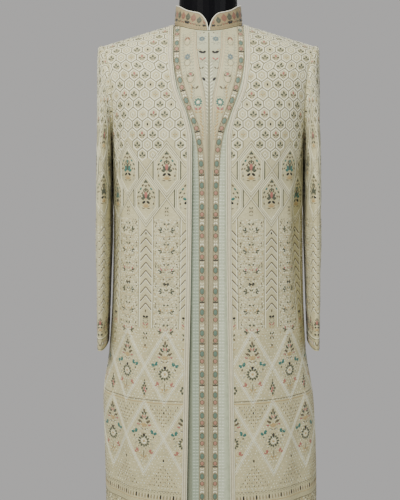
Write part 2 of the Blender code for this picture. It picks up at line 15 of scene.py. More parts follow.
import bpy
import numpy as np
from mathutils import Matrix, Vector

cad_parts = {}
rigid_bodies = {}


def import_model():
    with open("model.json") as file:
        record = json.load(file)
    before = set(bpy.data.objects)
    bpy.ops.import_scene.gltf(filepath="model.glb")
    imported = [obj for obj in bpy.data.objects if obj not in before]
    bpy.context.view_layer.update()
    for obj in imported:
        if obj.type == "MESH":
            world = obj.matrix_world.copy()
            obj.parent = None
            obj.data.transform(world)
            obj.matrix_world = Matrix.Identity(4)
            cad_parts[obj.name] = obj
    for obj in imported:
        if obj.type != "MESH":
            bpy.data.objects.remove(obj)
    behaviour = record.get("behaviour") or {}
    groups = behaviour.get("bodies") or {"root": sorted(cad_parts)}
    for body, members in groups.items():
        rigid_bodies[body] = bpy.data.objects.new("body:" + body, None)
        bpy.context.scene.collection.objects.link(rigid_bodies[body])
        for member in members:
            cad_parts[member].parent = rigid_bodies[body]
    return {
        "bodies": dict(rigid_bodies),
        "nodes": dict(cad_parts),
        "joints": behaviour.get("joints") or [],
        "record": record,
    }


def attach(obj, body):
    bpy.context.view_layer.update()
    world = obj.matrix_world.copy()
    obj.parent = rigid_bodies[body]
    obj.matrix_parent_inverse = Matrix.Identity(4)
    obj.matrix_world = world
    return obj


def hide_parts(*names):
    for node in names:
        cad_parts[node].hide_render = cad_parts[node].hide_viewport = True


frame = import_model()

log = logging.getLogger("sherwani")

BODY = "root"
CLOTH_UV = "Cloth"

Array = np.ndarray
Colour = tuple[float, float, float]
Line = Callable[[Array], Array]


class Side(IntEnum):
    """A side of the wearer, as the sign of x."""
    RIGHT = -1
    LEFT = 1

    @property
    def word(self) -> str:
        """The side's name, as node names spell it."""
        return self.name.lower()


class Face(IntEnum):
    """The front or the back, as the sign of y."""
    FRONT = -1
    BACK = 1


# Tables of the body surface, in metres: each is read by its first column


class BodySection(NamedTuple):
    """The coat's outer size at one level."""
    level: float
    right: float
    left: float
    front: float
    back: float
    squareness: float


class SleeveRing(NamedTuple):
    """One ring of a sleeve: follow 1 is the armhole's own shape, 0 a plain oval."""
    ring: float
    follow: float
    top: float
    under: float
    outer: float
    inner: float
    middle: float
    half_depth: float


class Reach(NamedTuple):
    """Distance of a line from the middle of the front, at one height."""
    height: float
    out: float


class Crease(NamedTuple):
    """A soft trough in the cloth, or a ridge where its depth is below zero.

    Its place is in degrees of turn and metres of height. Its lean is how many degrees it
    drifts outwards from its bottom to its top.
    """
    side: Side
    face: Face
    turn: float
    spread: float
    depth: float
    bottom: float
    top: float
    lean: float = 0.0


BODY_SECTIONS = (
    BodySection(0.420, 0.2305, 0.2455, 0.150, 0.140, 2.30),
    BodySection(0.550, 0.2315, 0.2427, 0.147, 0.135, 2.30),
    BodySection(0.670, 0.2335, 0.2350, 0.143, 0.130, 2.30),
    BodySection(0.780, 0.2190, 0.2165, 0.139, 0.125, 2.35),
    BodySection(0.880, 0.2110, 0.2095, 0.136, 0.120, 2.40),
    BodySection(0.980, 0.2070, 0.2055, 0.134, 0.115, 2.45),
    BodySection(1.100, 0.2045, 0.2030, 0.135, 0.110, 2.55),
    BodySection(1.215, 0.2045, 0.2030, 0.141, 0.113, 2.75),
    BodySection(1.250, 0.2045, 0.2030, 0.142, 0.115, 2.80),
    BodySection(1.400, 0.2045, 0.2030, 0.142, 0.115, 3.00),
)

SLEEVE_RINGS = (
    SleeveRing(0, 1.00, 1.4385, 1.215, 0.2220, 0.2050, 0.000, 0.078),
    SleeveRing(1, 0.97, 1.4395, 1.214, 0.2290, 0.2055, 0.000, 0.079),
    SleeveRing(2, 0.92, 1.4340, 1.212, 0.2335, 0.2060, -0.001, 0.080),
    SleeveRing(3, 0.80, 1.4130, 1.208, 0.2350, 0.2062, -0.002, 0.084),
    SleeveRing(4, 0.55, 1.3600, 1.200, 0.2355, 0.2065, -0.003, 0.088),
    SleeveRing(5, 0.25, 1.2900, 1.190, 0.2360, 0.2070, -0.005, 0.092),
    SleeveRing(6, 0.00, 1.2000, 1.165, 0.2368, 0.2078, -0.008, 0.092),
    SleeveRing(7, 0.00, 1.1200, 1.115, 0.2385, 0.2090, -0.011, 0.088),
    SleeveRing(8, 0.00, 1.0300, 1.030, 0.2405, 0.2105, -0.017, 0.081),
    SleeveRing(9, 0.00, 0.9500, 0.950, 0.2400, 0.2138, -0.022, 0.075),
    SleeveRing(10, 0.00, 0.8700, 0.870, 0.2392, 0.2168, -0.028, 0.069),
    SleeveRing(11, 0.00, 0.7980, 0.798, 0.2388, 0.2203, -0.032, 0.065),
)

COAT_EDGE = (
    Reach(0.420, 0.0460), Reach(0.700, 0.0420), Reach(0.980, 0.0365), Reach(1.240, 0.0340),
    Reach(1.290, 0.0440), Reach(1.319, 0.0555), Reach(1.343, 0.0640), Reach(1.376, 0.0695),
    Reach(1.420, 0.0733), Reach(1.500, 0.0733),
)
RIBBON_MIDDLE = (
    Reach(0.420, 0.0132), Reach(1.120, 0.0134), Reach(1.200, 0.0154), Reach(1.254, 0.0225),
    Reach(1.293, 0.0359), Reach(1.332, 0.0500), Reach(1.370, 0.0600), Reach(1.410, 0.0650),
    Reach(1.500, 0.0650),
)
BIB_SEAM = (
    Reach(0.420, 0.0061), Reach(1.270, 0.0061), Reach(1.300, 0.0070), Reach(1.335, 0.0115),
    Reach(1.364, 0.0180), Reach(1.397, 0.0240), Reach(1.432, 0.0277), Reach(1.500, 0.0285),
)

# The first eight are in the solids too
CREASES = (
    Crease(Side.LEFT, Face.FRONT, 67, 17, 0.0130, 0.82, 1.26),
    Crease(Side.RIGHT, Face.FRONT, 70, 13, 0.0050, 0.86, 1.25),
    Crease(Side.LEFT, Face.FRONT, 52, 15, 0.0060, 0.26, 0.84),
    Crease(Side.RIGHT, Face.FRONT, 56, 16, 0.0070, 0.24, 0.90),
    Crease(Side.LEFT, Face.BACK, 60, 18, 0.0090, 0.24, 1.16),
    Crease(Side.RIGHT, Face.BACK, 56, 18, 0.0100, 0.24, 1.10),
    Crease(Side.LEFT, Face.BACK, 26, 14, 0.0060, 0.24, 0.94),
    Crease(Side.RIGHT, Face.BACK, 22, 13, 0.0050, 0.24, 1.00),
    Crease(Side.LEFT, Face.FRONT, 78, 9, -0.0020, 0.88, 1.22, -4),
    Crease(Side.LEFT, Face.FRONT, 36, 10, 0.0016, 0.46, 0.98, 5),
    Crease(Side.LEFT, Face.FRONT, 42, 12, 0.0015, 1.02, 1.30, 9),
    Crease(Side.RIGHT, Face.FRONT, 58, 9, 0.0018, 1.04, 1.29, 12),
    Crease(Side.RIGHT, Face.FRONT, 34, 11, 0.0014, 0.40, 0.86, 3),
    Crease(Side.RIGHT, Face.FRONT, 44, 8, -0.0012, 0.60, 1.06, -3),
    Crease(Side.LEFT, Face.BACK, 44, 9, -0.0020, 0.50, 1.12, 6),
    Crease(Side.LEFT, Face.BACK, 72, 8, 0.0022, 0.88, 1.24, -8),
    Crease(Side.RIGHT, Face.BACK, 40, 10, -0.0018, 0.44, 1.04, 4),
    Crease(Side.RIGHT, Face.BACK, 70, 9, 0.0024, 0.94, 1.26, -7),
    Crease(Side.LEFT, Face.BACK, 30, 9, 0.0014, 1.10, 1.34, 14),
    Crease(Side.RIGHT, Face.BACK, 34, 8, 0.0016, 1.12, 1.36, 12),
)

# On a sleeve the turn is in degrees round the arm, 0 outwards and 90 forwards
SLEEVE_CREASES = (
    Crease(Side.LEFT, Face.FRONT, 62, 30, 0.0024, 0.98, 1.12, -40),
    Crease(Side.LEFT, Face.FRONT, 40, 24, 0.0018, 0.90, 1.02, 34),
    Crease(Side.LEFT, Face.FRONT, -30, 34, 0.0028, 1.00, 1.16, 38),
    Crease(Side.LEFT, Face.FRONT, 8, 26, 0.0014, 0.80, 0.93, -20),
    Crease(Side.LEFT, Face.FRONT, 30, 22, 0.0020, 1.14, 1.34, 16),
    Crease(Side.RIGHT, Face.FRONT, 58, 28, 0.0022, 0.95, 1.10, -36),
    Crease(Side.RIGHT, Face.FRONT, 30, 26, 0.0020, 0.87, 0.98, 30),
    Crease(Side.RIGHT, Face.FRONT, -36, 32, 0.0026, 0.98, 1.15, 34),
    Crease(Side.RIGHT, Face.FRONT, 0, 24, 0.0016, 0.81, 0.92, 22),
    Crease(Side.RIGHT, Face.FRONT, 36, 20, 0.0018, 1.16, 1.32, 12),
)


def smooth(value: Array) -> Array:
    """Ease numbers from 0 to 1, and hold them there outside."""
    value = np.clip(value, 0.0, 1.0)
    return value * value * (3 - 2 * value)


def mix(start: Array, end: Array, share: Array) -> Array:
    """Point or number part of the way between two."""
    return start + (end - start) * share


def squared(value: Array, power: float = 0.8) -> Array:
    """Sine or cosine of an oval that is a little squarer than an ellipse."""
    return np.sign(value) * np.abs(value) ** power


def read(rows: Sequence[NamedTuple], at: Array, column: str) -> Array:
    """Read a table's column on a smooth curve through its rows.

    Args:
        rows: the table, in order of its first column.
        at: where to read it, in the first column's unit.
        column: the name of the column to read.

    Returns:
        The column's value at each place, held at the ends of the table.
    """
    keys = np.array([row[0] for row in rows])
    values = np.array([getattr(row, column) for row in rows])
    steps = np.diff(values) / np.diff(keys)
    low, high = steps[:-1], steps[1:]
    turns = low * high <= 0
    inner = np.where(turns, 0.0, 2 * low * high / np.where(turns, 1.0, low + high))
    slopes = np.concatenate(([0.0], inner, [0.0]))
    at = np.clip(at, keys[0], keys[-1])
    first = np.clip(np.searchsorted(keys, at, side="right") - 1, 0, len(keys) - 2)
    span = keys[first + 1] - keys[first]
    share = (at - keys[first]) / span
    bend = slopes[first] * (1 - share) - slopes[first + 1] * share
    return mix(values[first], values[first + 1], smooth(share)) + share * (1 - share) * span * bend


def crease_depth(creases: Sequence[Crease], side: Side, face: Face, turn: Array,
                 height: Array) -> Array:
    """How far creases draw the cloth in.

    Args:
        creases: the creases to add up.
        side: side of the wearer.
        face: front or back; a sleeve's creases are all listed under the front.
        turn: degrees round the body or arm.
        height: height of each place.

    Returns:
        Depth of the cloth below its smooth form, in metres.
    """
    total = np.zeros(np.broadcast(turn, height).shape)
    for crease in creases:
        if (crease.side, crease.face) != (side, face):
            continue
        along = np.clip((height - crease.bottom) / (crease.top - crease.bottom), 0.0, 1.0)
        middle = crease.turn + crease.lean * (along - 0.5)
        across = np.abs(turn - middle) / crease.spread
        total += crease.depth * (1 - smooth(across)) * np.sin(np.pi * along) ** 1.5
    return total


@dataclass(frozen=True)
class BodySurface:
    """The coat's outer surface, read by a turn round the body and a rise up it.

    Turn is the angle from the middle of the front or back to the side seam. Rise grows up the
    body, is zero where the shoulder starts, and bends over to the shoulder seam at the crest.
    """
    armpit: float = 1.215
    shoulder_base: float = 1.250
    shoulder_rise: float = 0.246
    shoulder_slope: float = 0.31
    slope_start: float = 0.040
    shoulder_tip: float = 0.222
    neck_half_width: float = 0.072
    neck_front: float = 0.070
    neck_back: float = 0.057
    armhole_front: float = 0.078
    armhole_back: float = 0.066
    hollow_front: float = 0.013
    hollow_back: float = 0.006
    seam_gap: float = 0.0003
    crest: float = math.pi / 2 - 0.0005
    line_rounds: int = 3
    settle_rounds: int = 6

    def rise_at(self, level: float) -> float:
        """Rise of a level below the shoulder."""
        return (level - self.shoulder_base) / self.shoulder_rise

    def level_at(self, rise: Array) -> Array:
        """Level of a rise, measured where the shoulder's slope would meet the middle."""
        return self.shoulder_base + self.shoulder_rise * np.where(rise > 0, np.sin(rise), rise)

    def shoulder_fall(self, out: Array) -> Array:
        """How far the shoulder seam has fallen at a distance from the middle."""
        return self.shoulder_slope * (np.hypot(out, self.slope_start) - self.slope_start)

    def height_at(self, rise: Array, out: Array) -> Array:
        """Height of the surface at a rise, lower the further out on the shoulder."""
        lean = np.where(rise > 0, np.sin(rise) ** 2, 0.0)
        return self.level_at(rise) - lean * self.shoulder_fall(out)

    def armhole(self, side: Side, face: Face, level: Array) -> tuple[Array, Array]:
        """Distance out and depth of the armhole's edge at a level."""
        crest = self.shoulder_base + self.shoulder_rise
        middle, half = (crest + self.armpit) / 2, (crest - self.armpit) / 2
        cosine = np.clip((level - middle) / half, -1.0, 1.0)
        sine = np.sqrt(1 - cosine * cosine)
        depth, hollow = ((self.armhole_front, self.hollow_front) if face is Face.FRONT
                         else (self.armhole_back, self.hollow_back))
        low_out = read(BODY_SECTIONS, self.armpit, side.word)
        out = mix(low_out, self.shoulder_tip, (1 + cosine) / 2) - hollow * sine ** 2
        return out, depth * sine

    def section(self, side: Side, face: Face, rise: Array) -> tuple[Array, Array, Array, Array]:
        """Half width, half depth, squareness and last turn of the surface at a rise."""
        level = self.level_at(rise)
        squareness = read(BODY_SECTIONS, level, "squareness")
        depth = read(BODY_SECTIONS, level, face.name.lower())
        depth = depth * np.where(rise > 0, np.cos(rise), 1.0)
        out, inset = self.armhole(side, face, level)
        below = level <= self.armpit
        inset = np.where(below, 0.0, inset)
        width = out / (1 - (inset / depth) ** squareness) ** (1 / squareness)
        last = np.arcsin(np.clip(out / width, 0.0, 1.0) ** (squareness / 2))
        plain = read(BODY_SECTIONS, level, side.word)
        return np.where(below, plain, width), depth, squareness, np.where(below, np.pi / 2, last)

    def bare(self, side: Side, face: Face, turn: Array, rise: Array) -> Array:
        """Points of the surface before its creases."""
        width, depth, squareness, _ = self.section(side, face, rise)
        out = width * np.sin(turn) ** (2 / squareness)
        back = depth * np.clip(np.cos(turn), 0.0, 1.0) ** (2 / squareness)
        gap = self.seam_gap / 2
        return np.stack((side * (out + gap), face * (back + gap),
                         self.height_at(rise, out) + 0 * turn), axis=-1)

    def outward(self, side: Side, face: Face, turn: Array, rise: Array) -> Array:
        """Unit normals of the surface, pointing away from the body."""
        step = 0.002
        low_turn, high_turn = np.maximum(turn - step, 0.0), np.minimum(turn + step, np.pi / 2)
        across = self.bare(side, face, high_turn, rise) - self.bare(side, face, low_turn, rise)
        up = (self.bare(side, face, turn, np.minimum(rise + step, self.crest))
              - self.bare(side, face, turn, rise - step))
        normal = np.cross(across, up) * (-side * face)
        return normal / np.linalg.norm(normal, axis=-1, keepdims=True)

    def skin(self, side: Side, face: Face, turn: Array, rise: Array, depth: Array) -> Array:
        """Points of the creased cloth, a depth below the coat's outer face."""
        points = self.bare(side, face, turn, rise)
        inset = depth + crease_depth(CREASES, side, face, np.degrees(turn), points[..., 2])
        return points - self.outward(side, face, turn, rise) * inset[..., None]

    def neck_rise(self, face: Face, out: Array) -> Array:
        """Rise at which the surface ends: at the neck hole, or at the shoulder seam."""
        depth = self.neck_front if face is Face.FRONT else self.neck_back
        share = np.clip(out / self.neck_half_width, 0.0, 1.0)
        reach = read(BODY_SECTIONS, self.shoulder_base, face.name.lower())
        return np.minimum(np.arccos(depth * np.sqrt(1 - share ** 2) / reach), self.crest)

    def turn_of(self, line: Line, side: Side, face: Face, rise: Array) -> Array:
        """Turn at which a line crosses each rise of the surface."""
        width, _, squareness, last = self.section(side, face, rise)
        out = np.full_like(rise, 0.05)
        for _ in range(self.line_rounds):
            out = line(self.height_at(rise, out))
        return np.minimum(np.arcsin(np.clip(out / width, 0.0, 1.0) ** (squareness / 2)), last)

    def settle(self, side: Side, face: Face, nominal: Array, inner: Line,
               outer: Optional[Line], share: float) -> tuple[Array, Array]:
        """Place one column of points on the surface, held below the neck hole.

        Args:
            side: side of the wearer.
            face: front or back.
            nominal: the rises of the rows, as if there were no neck hole.
            inner: line on the column's inner side.
            outer: line on its outer side, or None for the side seam.
            share: how far the column lies from one line to the other.

        Returns:
            The turns and the rises of the column's points.
        """
        rise = nominal.copy()
        for _ in range(self.settle_rounds):
            width, _, squareness, last = self.section(side, face, rise)
            ends = [self.turn_of(line, side, face, rise) if line else last
                    for line in (inner, outer)]
            turn = mix(ends[0], ends[1], share)
            out = width * np.sin(turn) ** (2 / squareness)
            ceiling = self.neck_rise(face, out) / self.crest
            rise = np.where(nominal <= 0, nominal, nominal * ceiling)
        return turn, rise


SURFACE = BodySurface()


@dataclass(frozen=True)
class Layers:
    """How deep each layer of the coat lies, and how thick it is."""
    coat_wall: float = 0.0020
    satin_wall: float = 0.0012
    trim_wall: float = 0.0010
    gap: float = SURFACE.seam_gap
    standoff: float = 0.0030
    standoff_end: float = 0.9

    def coat(self, rise: Array) -> Array:
        """Depth of the coat's own outer face."""
        return 0.0 * rise

    def band(self, rise: Array) -> Array:
        """Depth of the edge band's outer face, proud of the coat."""
        return 0.0 * rise - self.trim_wall - self.gap

    def trim(self, rise: Array) -> Array:
        """Depth of the trims' outer face: closest under the coat at the shoulder."""
        return self.coat_wall + self.gap + self.standoff * (
            1 - smooth(rise / self.standoff_end))

    def satin(self, rise: Array) -> Array:
        """Depth of the satin's outer face, just under the trims."""
        return self.trim(rise) + self.trim_wall + self.gap


LAYERS = Layers()


# Lines down the front, as distances from its middle

EDGE_BAND_WIDTH = 0.0100
RIBBON_HALF_WIDTH = 0.0066
INNER_OVERLAP = 0.045


def beside(rows: Sequence[Reach], shift: float = 0.0) -> Line:
    """The line that a table gives, moved outwards by a steady distance."""
    def out_at(height: Array) -> Array:
        """Distance from the middle at a height."""
        return read(rows, height, "out") + shift

    return out_at


coat_edge = beside(COAT_EDGE)
band_edge = beside(COAT_EDGE, EDGE_BAND_WIDTH)
# The satin ends here, hidden under the coat
satin_edge = beside(COAT_EDGE, INNER_OVERLAP)
# Below bib and yoke, their seam goes on as the side of the strip at the closing
bib_seam = beside(BIB_SEAM)
bib_edge = beside(BIB_SEAM, -SURFACE.seam_gap / 2)
yoke_inner = beside(BIB_SEAM, SURFACE.seam_gap / 2)
ribbon_middle = beside(RIBBON_MIDDLE)
ribbon_inner = beside(RIBBON_MIDDLE, -RIBBON_HALF_WIDTH)
ribbon_outer = beside(RIBBON_MIDDLE, RIBBON_HALF_WIDTH)


def middle_line(height: Array) -> Array:
    """The middle of the front or back."""
    return 0.0 * height


def yoke_outer(height: Array) -> Array:
    """Side of the yoke next to the ribbon."""
    return np.maximum(ribbon_inner(height) - SURFACE.seam_gap, yoke_inner(height))


# Nodes of shaders and of Geometry Nodes

Input = Union["Value", bpy.types.NodeSocket, float, tuple, None]


class Graph:
    """Nodes of one tree, added with their settings first and then their sockets."""

    def __init__(self, tree: bpy.types.NodeTree) -> None:
        """Work on an empty or a new tree."""
        self.tree = tree

    def feed(self, socket: bpy.types.NodeSocket, value: Input) -> None:
        """Link a socket, or set its own value."""
        if isinstance(value, Value):
            value = value.socket
        if isinstance(value, bpy.types.NodeSocket):
            self.tree.links.new(value, socket)
        elif value is not None:
            socket.default_value = value

    def node(self, kind: str, settings: Optional[Mapping[str, object]] = None,
             sockets: Optional[Mapping[Union[str, int], Input]] = None) -> bpy.types.Node:
        """Add a node.

        Args:
            kind: the node's type.
            settings: its own properties.
            sockets: values or links of its inputs, by name or number.

        Returns:
            The new node.
        """
        made = self.tree.nodes.new(kind)
        for name, value in (settings or {}).items():
            setattr(made, name, value)
        for name, value in (sockets or {}).items():
            self.feed(made.inputs[name], value)
        return made

    def value(self, node: bpy.types.Node, output: Union[str, int] = 0) -> "Value":
        """Wrap a node's output, so that arithmetic on it adds nodes."""
        return Value(self, node.outputs[output])

    def math(self, operation: str, *values: Input) -> "Value":
        """Add a Math node on one, two or three numbers."""
        made = self.node("ShaderNodeMath", {"operation": operation}, dict(enumerate(values)))
        return self.value(made)


class Value:
    """A number in a tree: arithmetic on it adds Math nodes."""

    def __init__(self, graph: Graph, socket: bpy.types.NodeSocket) -> None:
        """Wrap a socket of a tree."""
        self.graph = graph
        self.socket = socket

    def __add__(self, other: Input) -> "Value":
        """Add a number to it."""
        return self.graph.math("ADD", self, other)

    __radd__ = __add__

    def __sub__(self, other: Input) -> "Value":
        """Take a number from it."""
        return self.graph.math("SUBTRACT", self, other)

    def __rsub__(self, other: Input) -> "Value":
        """Take it from a number."""
        return self.graph.math("SUBTRACT", other, self)

    def __mul__(self, other: Input) -> "Value":
        """Multiply it by a number."""
        return self.graph.math("MULTIPLY", self, other)

    __rmul__ = __mul__

    def ease(self, low: float, high: float) -> "Value":
        """Ease from 0 to 1 as it goes from low to high."""
        made = self.graph.node("ShaderNodeMapRange", {"interpolation_type": "SMOOTHSTEP"},
                               {"Value": self, "From Min": low, "From Max": high})
        return self.graph.value(made)

    def wave(self, length: float) -> "Value":
        """Sine of it, from -1 to 1, with a wave of the given length."""
        return self.graph.math("SINE", self * (2 * math.pi / length))


class Shader(Graph):
    """A procedural material in the making."""

    def __init__(self, name: str) -> None:
        """Start a material with a Principled BSDF."""
        self.material = bpy.data.materials.new(name)
        self.material.use_nodes = True
        super().__init__(self.material.node_tree)
        self.surface = self.tree.nodes["Principled BSDF"]

    def set(self, **values: Input) -> None:
        """Give the surface's sockets values, with underscores for the spaces in their names."""
        for name, value in values.items():
            self.feed(self.surface.inputs[name.replace("_", " ")], value)

    def cloth(self) -> bpy.types.NodeSocket:
        """Place on the cloth, in metres."""
        return self.node("ShaderNodeUVMap", {"uv_map": CLOTH_UV}).outputs["UV"]

    def place(self) -> bpy.types.NodeSocket:
        """Place in the part's frame, in metres."""
        return self.node("ShaderNodeTexCoord").outputs["Object"]

    def split(self, vector: bpy.types.NodeSocket) -> list[Value]:
        """The numbers of a vector."""
        made = self.node("ShaderNodeSeparateXYZ", sockets={0: vector})
        return [self.value(made, index) for index in range(3)]

    def noise(self, vector: bpy.types.NodeSocket, size: float, detail: float = 2.0) -> Value:
        """Soft noise whose blots are about the given size."""
        made = self.node("ShaderNodeTexNoise",
                         sockets={"Vector": vector, "Scale": 1 / size, "Detail": detail})
        return self.value(made, "Fac")

    def cells(self, vector: bpy.types.NodeSocket, size: float) -> bpy.types.Node:
        """Irregular cells of about the given size."""
        return self.node("ShaderNodeTexVoronoi", {"feature": "F1"},
                         {"Vector": vector, "Scale": 1 / size})

    def blend(self, start: Input, end: Input, share: Input) -> bpy.types.NodeSocket:
        """Mix two colours."""
        made = self.node("ShaderNodeMix", {"data_type": "RGBA"},
                         {"Factor": share, "A": start, "B": end})
        return made.outputs["Result"]

    def bump(self, height: Value, distance: float, strength: float = 1.0) -> None:
        """Raise the surface by a height from 0 to 1 times a distance."""
        made = self.node("ShaderNodeBump", sockets={"Height": height, "Distance": distance,
                                                    "Strength": strength})
        self.set(Normal=made.outputs["Normal"])


def opaque(colour: Colour) -> tuple[float, float, float, float]:
    """A colour with full alpha."""
    return (*colour, 1.0)


# Finishes


@dataclass(frozen=True)
class Woven:
    """A cloth with a plain weave, a soft change of shade and tonal stitching all over."""
    name: str
    light: Colour
    shade: Colour
    stitch: float = 0.0028
    relief: float = 0.00045
    thread: float = 0.0007
    roughness: float = 0.72
    sheen: float = 0.12
    low: Optional[Colour] = None
    low_level: float = 1.285

    def build(self) -> bpy.types.Material:
        """Make the material."""
        shader = Shader(self.name)
        cloth = shader.cloth()
        across, along, _ = shader.split(cloth)
        weave = (across.wave(2 * self.thread) * along.wave(2 * self.thread)) * 0.5 + 0.5
        cells = shader.cells(cloth, self.stitch)
        fill = 1 - shader.value(cells, "Distance").ease(0.15, 0.62)
        drift = shader.noise(cloth, 0.055, 3.0).ease(0.35, 0.65)
        fine = shader.noise(cloth, 0.004, 2.0)
        # Cells are lighter on the raised stitches and darker between them: the stitches' own paler
        # thread, and painted shade in the hollows; the drifts and fine noise are the cloth's own
        # tone
        share = drift * 0.45 + fill * 0.40 + fine * 0.25 - 0.12
        light = opaque(self.light)
        # Below the low level the cloth turns to its low colour: on bib and yoke the plain strip's
        # own colour, on the brocade painted shade over the coat's lower part
        if self.low:
            height = along.ease(self.low_level - 0.03, self.low_level + 0.03)
            light = shader.blend(opaque(self.low), light, height)
        shader.set(Base_Color=shader.blend(opaque(self.shade), light, share),
                   Roughness=self.roughness - fill * 0.12,
                   Sheen_Weight=self.sheen, Sheen_Roughness=0.4, IOR=1.4)
        shader.bump(fill * 0.7 + weave * 0.3, self.relief)
        return shader.material


class Shadow(NamedTuple):
    """A painted shade: how much of the cloth's own shade is left, and where it sets in.

    Its edge is in metres to the wearer's left, and its fade is in metres up the cloth. Each
    runs from no shadow to full shadow.
    """
    left_over: Colour
    edge: tuple[float, float]
    fade: tuple[float, float]
    strength: float


# The wearer's right side of the satin lies in the shade of the coat's edge
SATIN_SHADOWS = (
    Shadow((0.54, 0.62, 0.66), (-0.016, -0.022), (1.26, 1.10), 0.70),
    Shadow((0.50, 0.50, 0.50), (-0.0330, -0.0355), (1.02, 0.80), 0.90),
)


@dataclass(frozen=True)
class Satin:
    """A smooth shiny cloth, with fine threads that run up and down."""
    name: str
    light: Colour
    shade: Colour
    thread: float = 0.0006
    roughness: float = 0.36
    shadows: tuple[Shadow, ...] = ()

    def build(self) -> bpy.types.Material:
        """Make the material."""
        shader = Shader(self.name)
        cloth = shader.cloth()
        across, along, _ = shader.split(cloth)
        thread = across.wave(self.thread) * 0.5 + 0.5
        slub = shader.noise(cloth, 0.012, 3.0)
        share = slub.ease(0.3, 0.7) * 0.7 + thread * 0.3
        colour = shader.blend(opaque(self.shade), opaque(self.light), share)
        for shadow in self.shadows:
            aside = shader.split(shader.place())[0]
            dark = opaque(tuple(channel * kept for channel, kept
                                in zip(self.shade, shadow.left_over)))
            colour = shader.blend(colour, dark, aside.ease(*shadow.edge)
                                  * along.ease(*shadow.fade) * shadow.strength)
        shader.set(Base_Color=colour,
                   Roughness=self.roughness + slub * 0.12, Sheen_Weight=0.3,
                   Sheen_Roughness=0.35)
        shader.bump(thread * 0.5 + slub * 0.5 + along.wave(0.013) * 0.05, 0.00025)
        return shader.material


@dataclass(frozen=True)
class GlossForm:
    """The form's polished moulded shell."""
    name: str
    colour: Colour

    def build(self) -> bpy.types.Material:
        """Make the material."""
        shader = Shader(self.name)
        place = shader.place()
        ripple = shader.noise(place, 0.09, 1.0)
        dust = shader.noise(place, 0.0016, 2.0).ease(0.55, 0.8)
        pale = tuple(channel + 0.012 for channel in self.colour)
        shader.set(Base_Color=shader.blend(opaque(self.colour), opaque(pale), dust * 0.5),
                   Roughness=0.22 + dust * 0.10 + ripple * 0.05, Specular_IOR_Level=0.05)
        shader.bump(ripple, 0.0006)
        return shader.material


@dataclass(frozen=True)
class PaintedSteel:
    """Dark satin paint on the stand, a little worn."""
    name: str
    colour: Colour
    worn: Colour

    def build(self) -> bpy.types.Material:
        """Make the material."""
        shader = Shader(self.name)
        place = shader.place()
        grain = shader.noise(place, 0.0012, 2.0)
        scuff = shader.noise(place, 0.02, 4.0).ease(0.62, 0.74)
        shader.set(Base_Color=shader.blend(opaque(self.colour), opaque(self.worn), scuff),
                   Roughness=0.34 + grain * 0.14, Metallic=0.6)
        shader.bump(grain, 0.00012)
        return shader.material


@dataclass(frozen=True)
class Embroidered:
    """Twisted silk threads, in the colour that each stitch carries."""
    name: str
    roughness: float = 0.5
    strand: float = 0.0005

    def build(self) -> bpy.types.Material:
        """Make the material."""
        shader = Shader(self.name)
        colour = shader.node("ShaderNodeAttribute", {"attribute_name": "thread"})
        place = shader.place()
        grain = shader.noise(place, 0.0011, 1.0)
        tone = shader.node("ShaderNodeHueSaturation",
                           sockets={"Color": colour.outputs["Color"],
                                    "Value": grain * 0.5 + 0.75})
        shader.set(Base_Color=tone.outputs["Color"], Roughness=self.roughness + grain * 0.15,
                   Sheen_Weight=0.2)
        shader.bump(shader.noise(place, self.strand, 0.0), 0.0002)
        return shader.material


class Finish(Enum):
    """The finishes of the part, named after the record's slots."""
    THREAD = Embroidered("stitched_thread")
    # The brocade's low colour below 0.84 m is painted shade, where the lower coat gets less light
    BROCADE = Woven("embroidered_brocade", (0.635, 0.600, 0.375), (0.445, 0.410, 0.230),
                    low=(0.575, 0.535, 0.305), low_level=0.84)
    SATIN = Satin("mint_satin", (0.56, 0.62, 0.45), (0.44, 0.49, 0.34),
                  shadows=SATIN_SHADOWS)
    RIBBON = Woven("embroidered_ribbon", (0.43, 0.395, 0.25), (0.30, 0.27, 0.16), 0.0018,
                   0.0003, 0.0006)
    BIB = Woven("bib_cloth", (0.55, 0.56, 0.395), (0.42, 0.42, 0.28), 0.0022,
                low=(0.53, 0.47, 0.29))
    YOKE = Woven("yoke_cloth", (0.57, 0.55, 0.35), (0.44, 0.41, 0.245), 0.0024,
                 low=(0.51, 0.45, 0.27))
    EDGE_BAND = Satin("plain_edge_band", (0.66, 0.61, 0.43), (0.56, 0.51, 0.34), 0.0007, 0.5)
    COLLAR = Woven("collar_cloth", (0.40, 0.335, 0.19), (0.275, 0.215, 0.112), 0.0020)
    PIPING = Satin("cream_piping", (0.72, 0.70, 0.57), (0.62, 0.60, 0.47), 0.0009, 0.42)
    FORM = GlossForm("form_gloss_black", (0.004, 0.004, 0.005))
    STEEL = PaintedSteel("stand_steel", (0.035, 0.035, 0.040), (0.10, 0.10, 0.11))


class Wardrobe:
    """Materials by finish, each made once."""

    def __init__(self) -> None:
        """Start with none made."""
        self.made: dict[Finish, bpy.types.Material] = {}

    def get(self, finish: Finish) -> bpy.types.Material:
        """The finish's material."""
        if finish not in self.made:
            self.made[finish] = finish.value.build()
        return self.made[finish]


def show(name: str, data: bpy.types.ID) -> bpy.types.Object:
    """Add an object to the scene, with a mesh, a light or a camera."""
    made = bpy.data.objects.new(name, data)
    bpy.context.collection.objects.link(made)
    return made


# Cloth pieces

# The least share of its width times its length that a cut may be said to fill
LEAST_CUT_SHARE = 0.301


class Measure(Enum):
    """How a piece's cloth is measured for its UV map."""
    UPRIGHT = "across the rows, and up from the floor"
    ALONG = "square to its own middle, and along it"


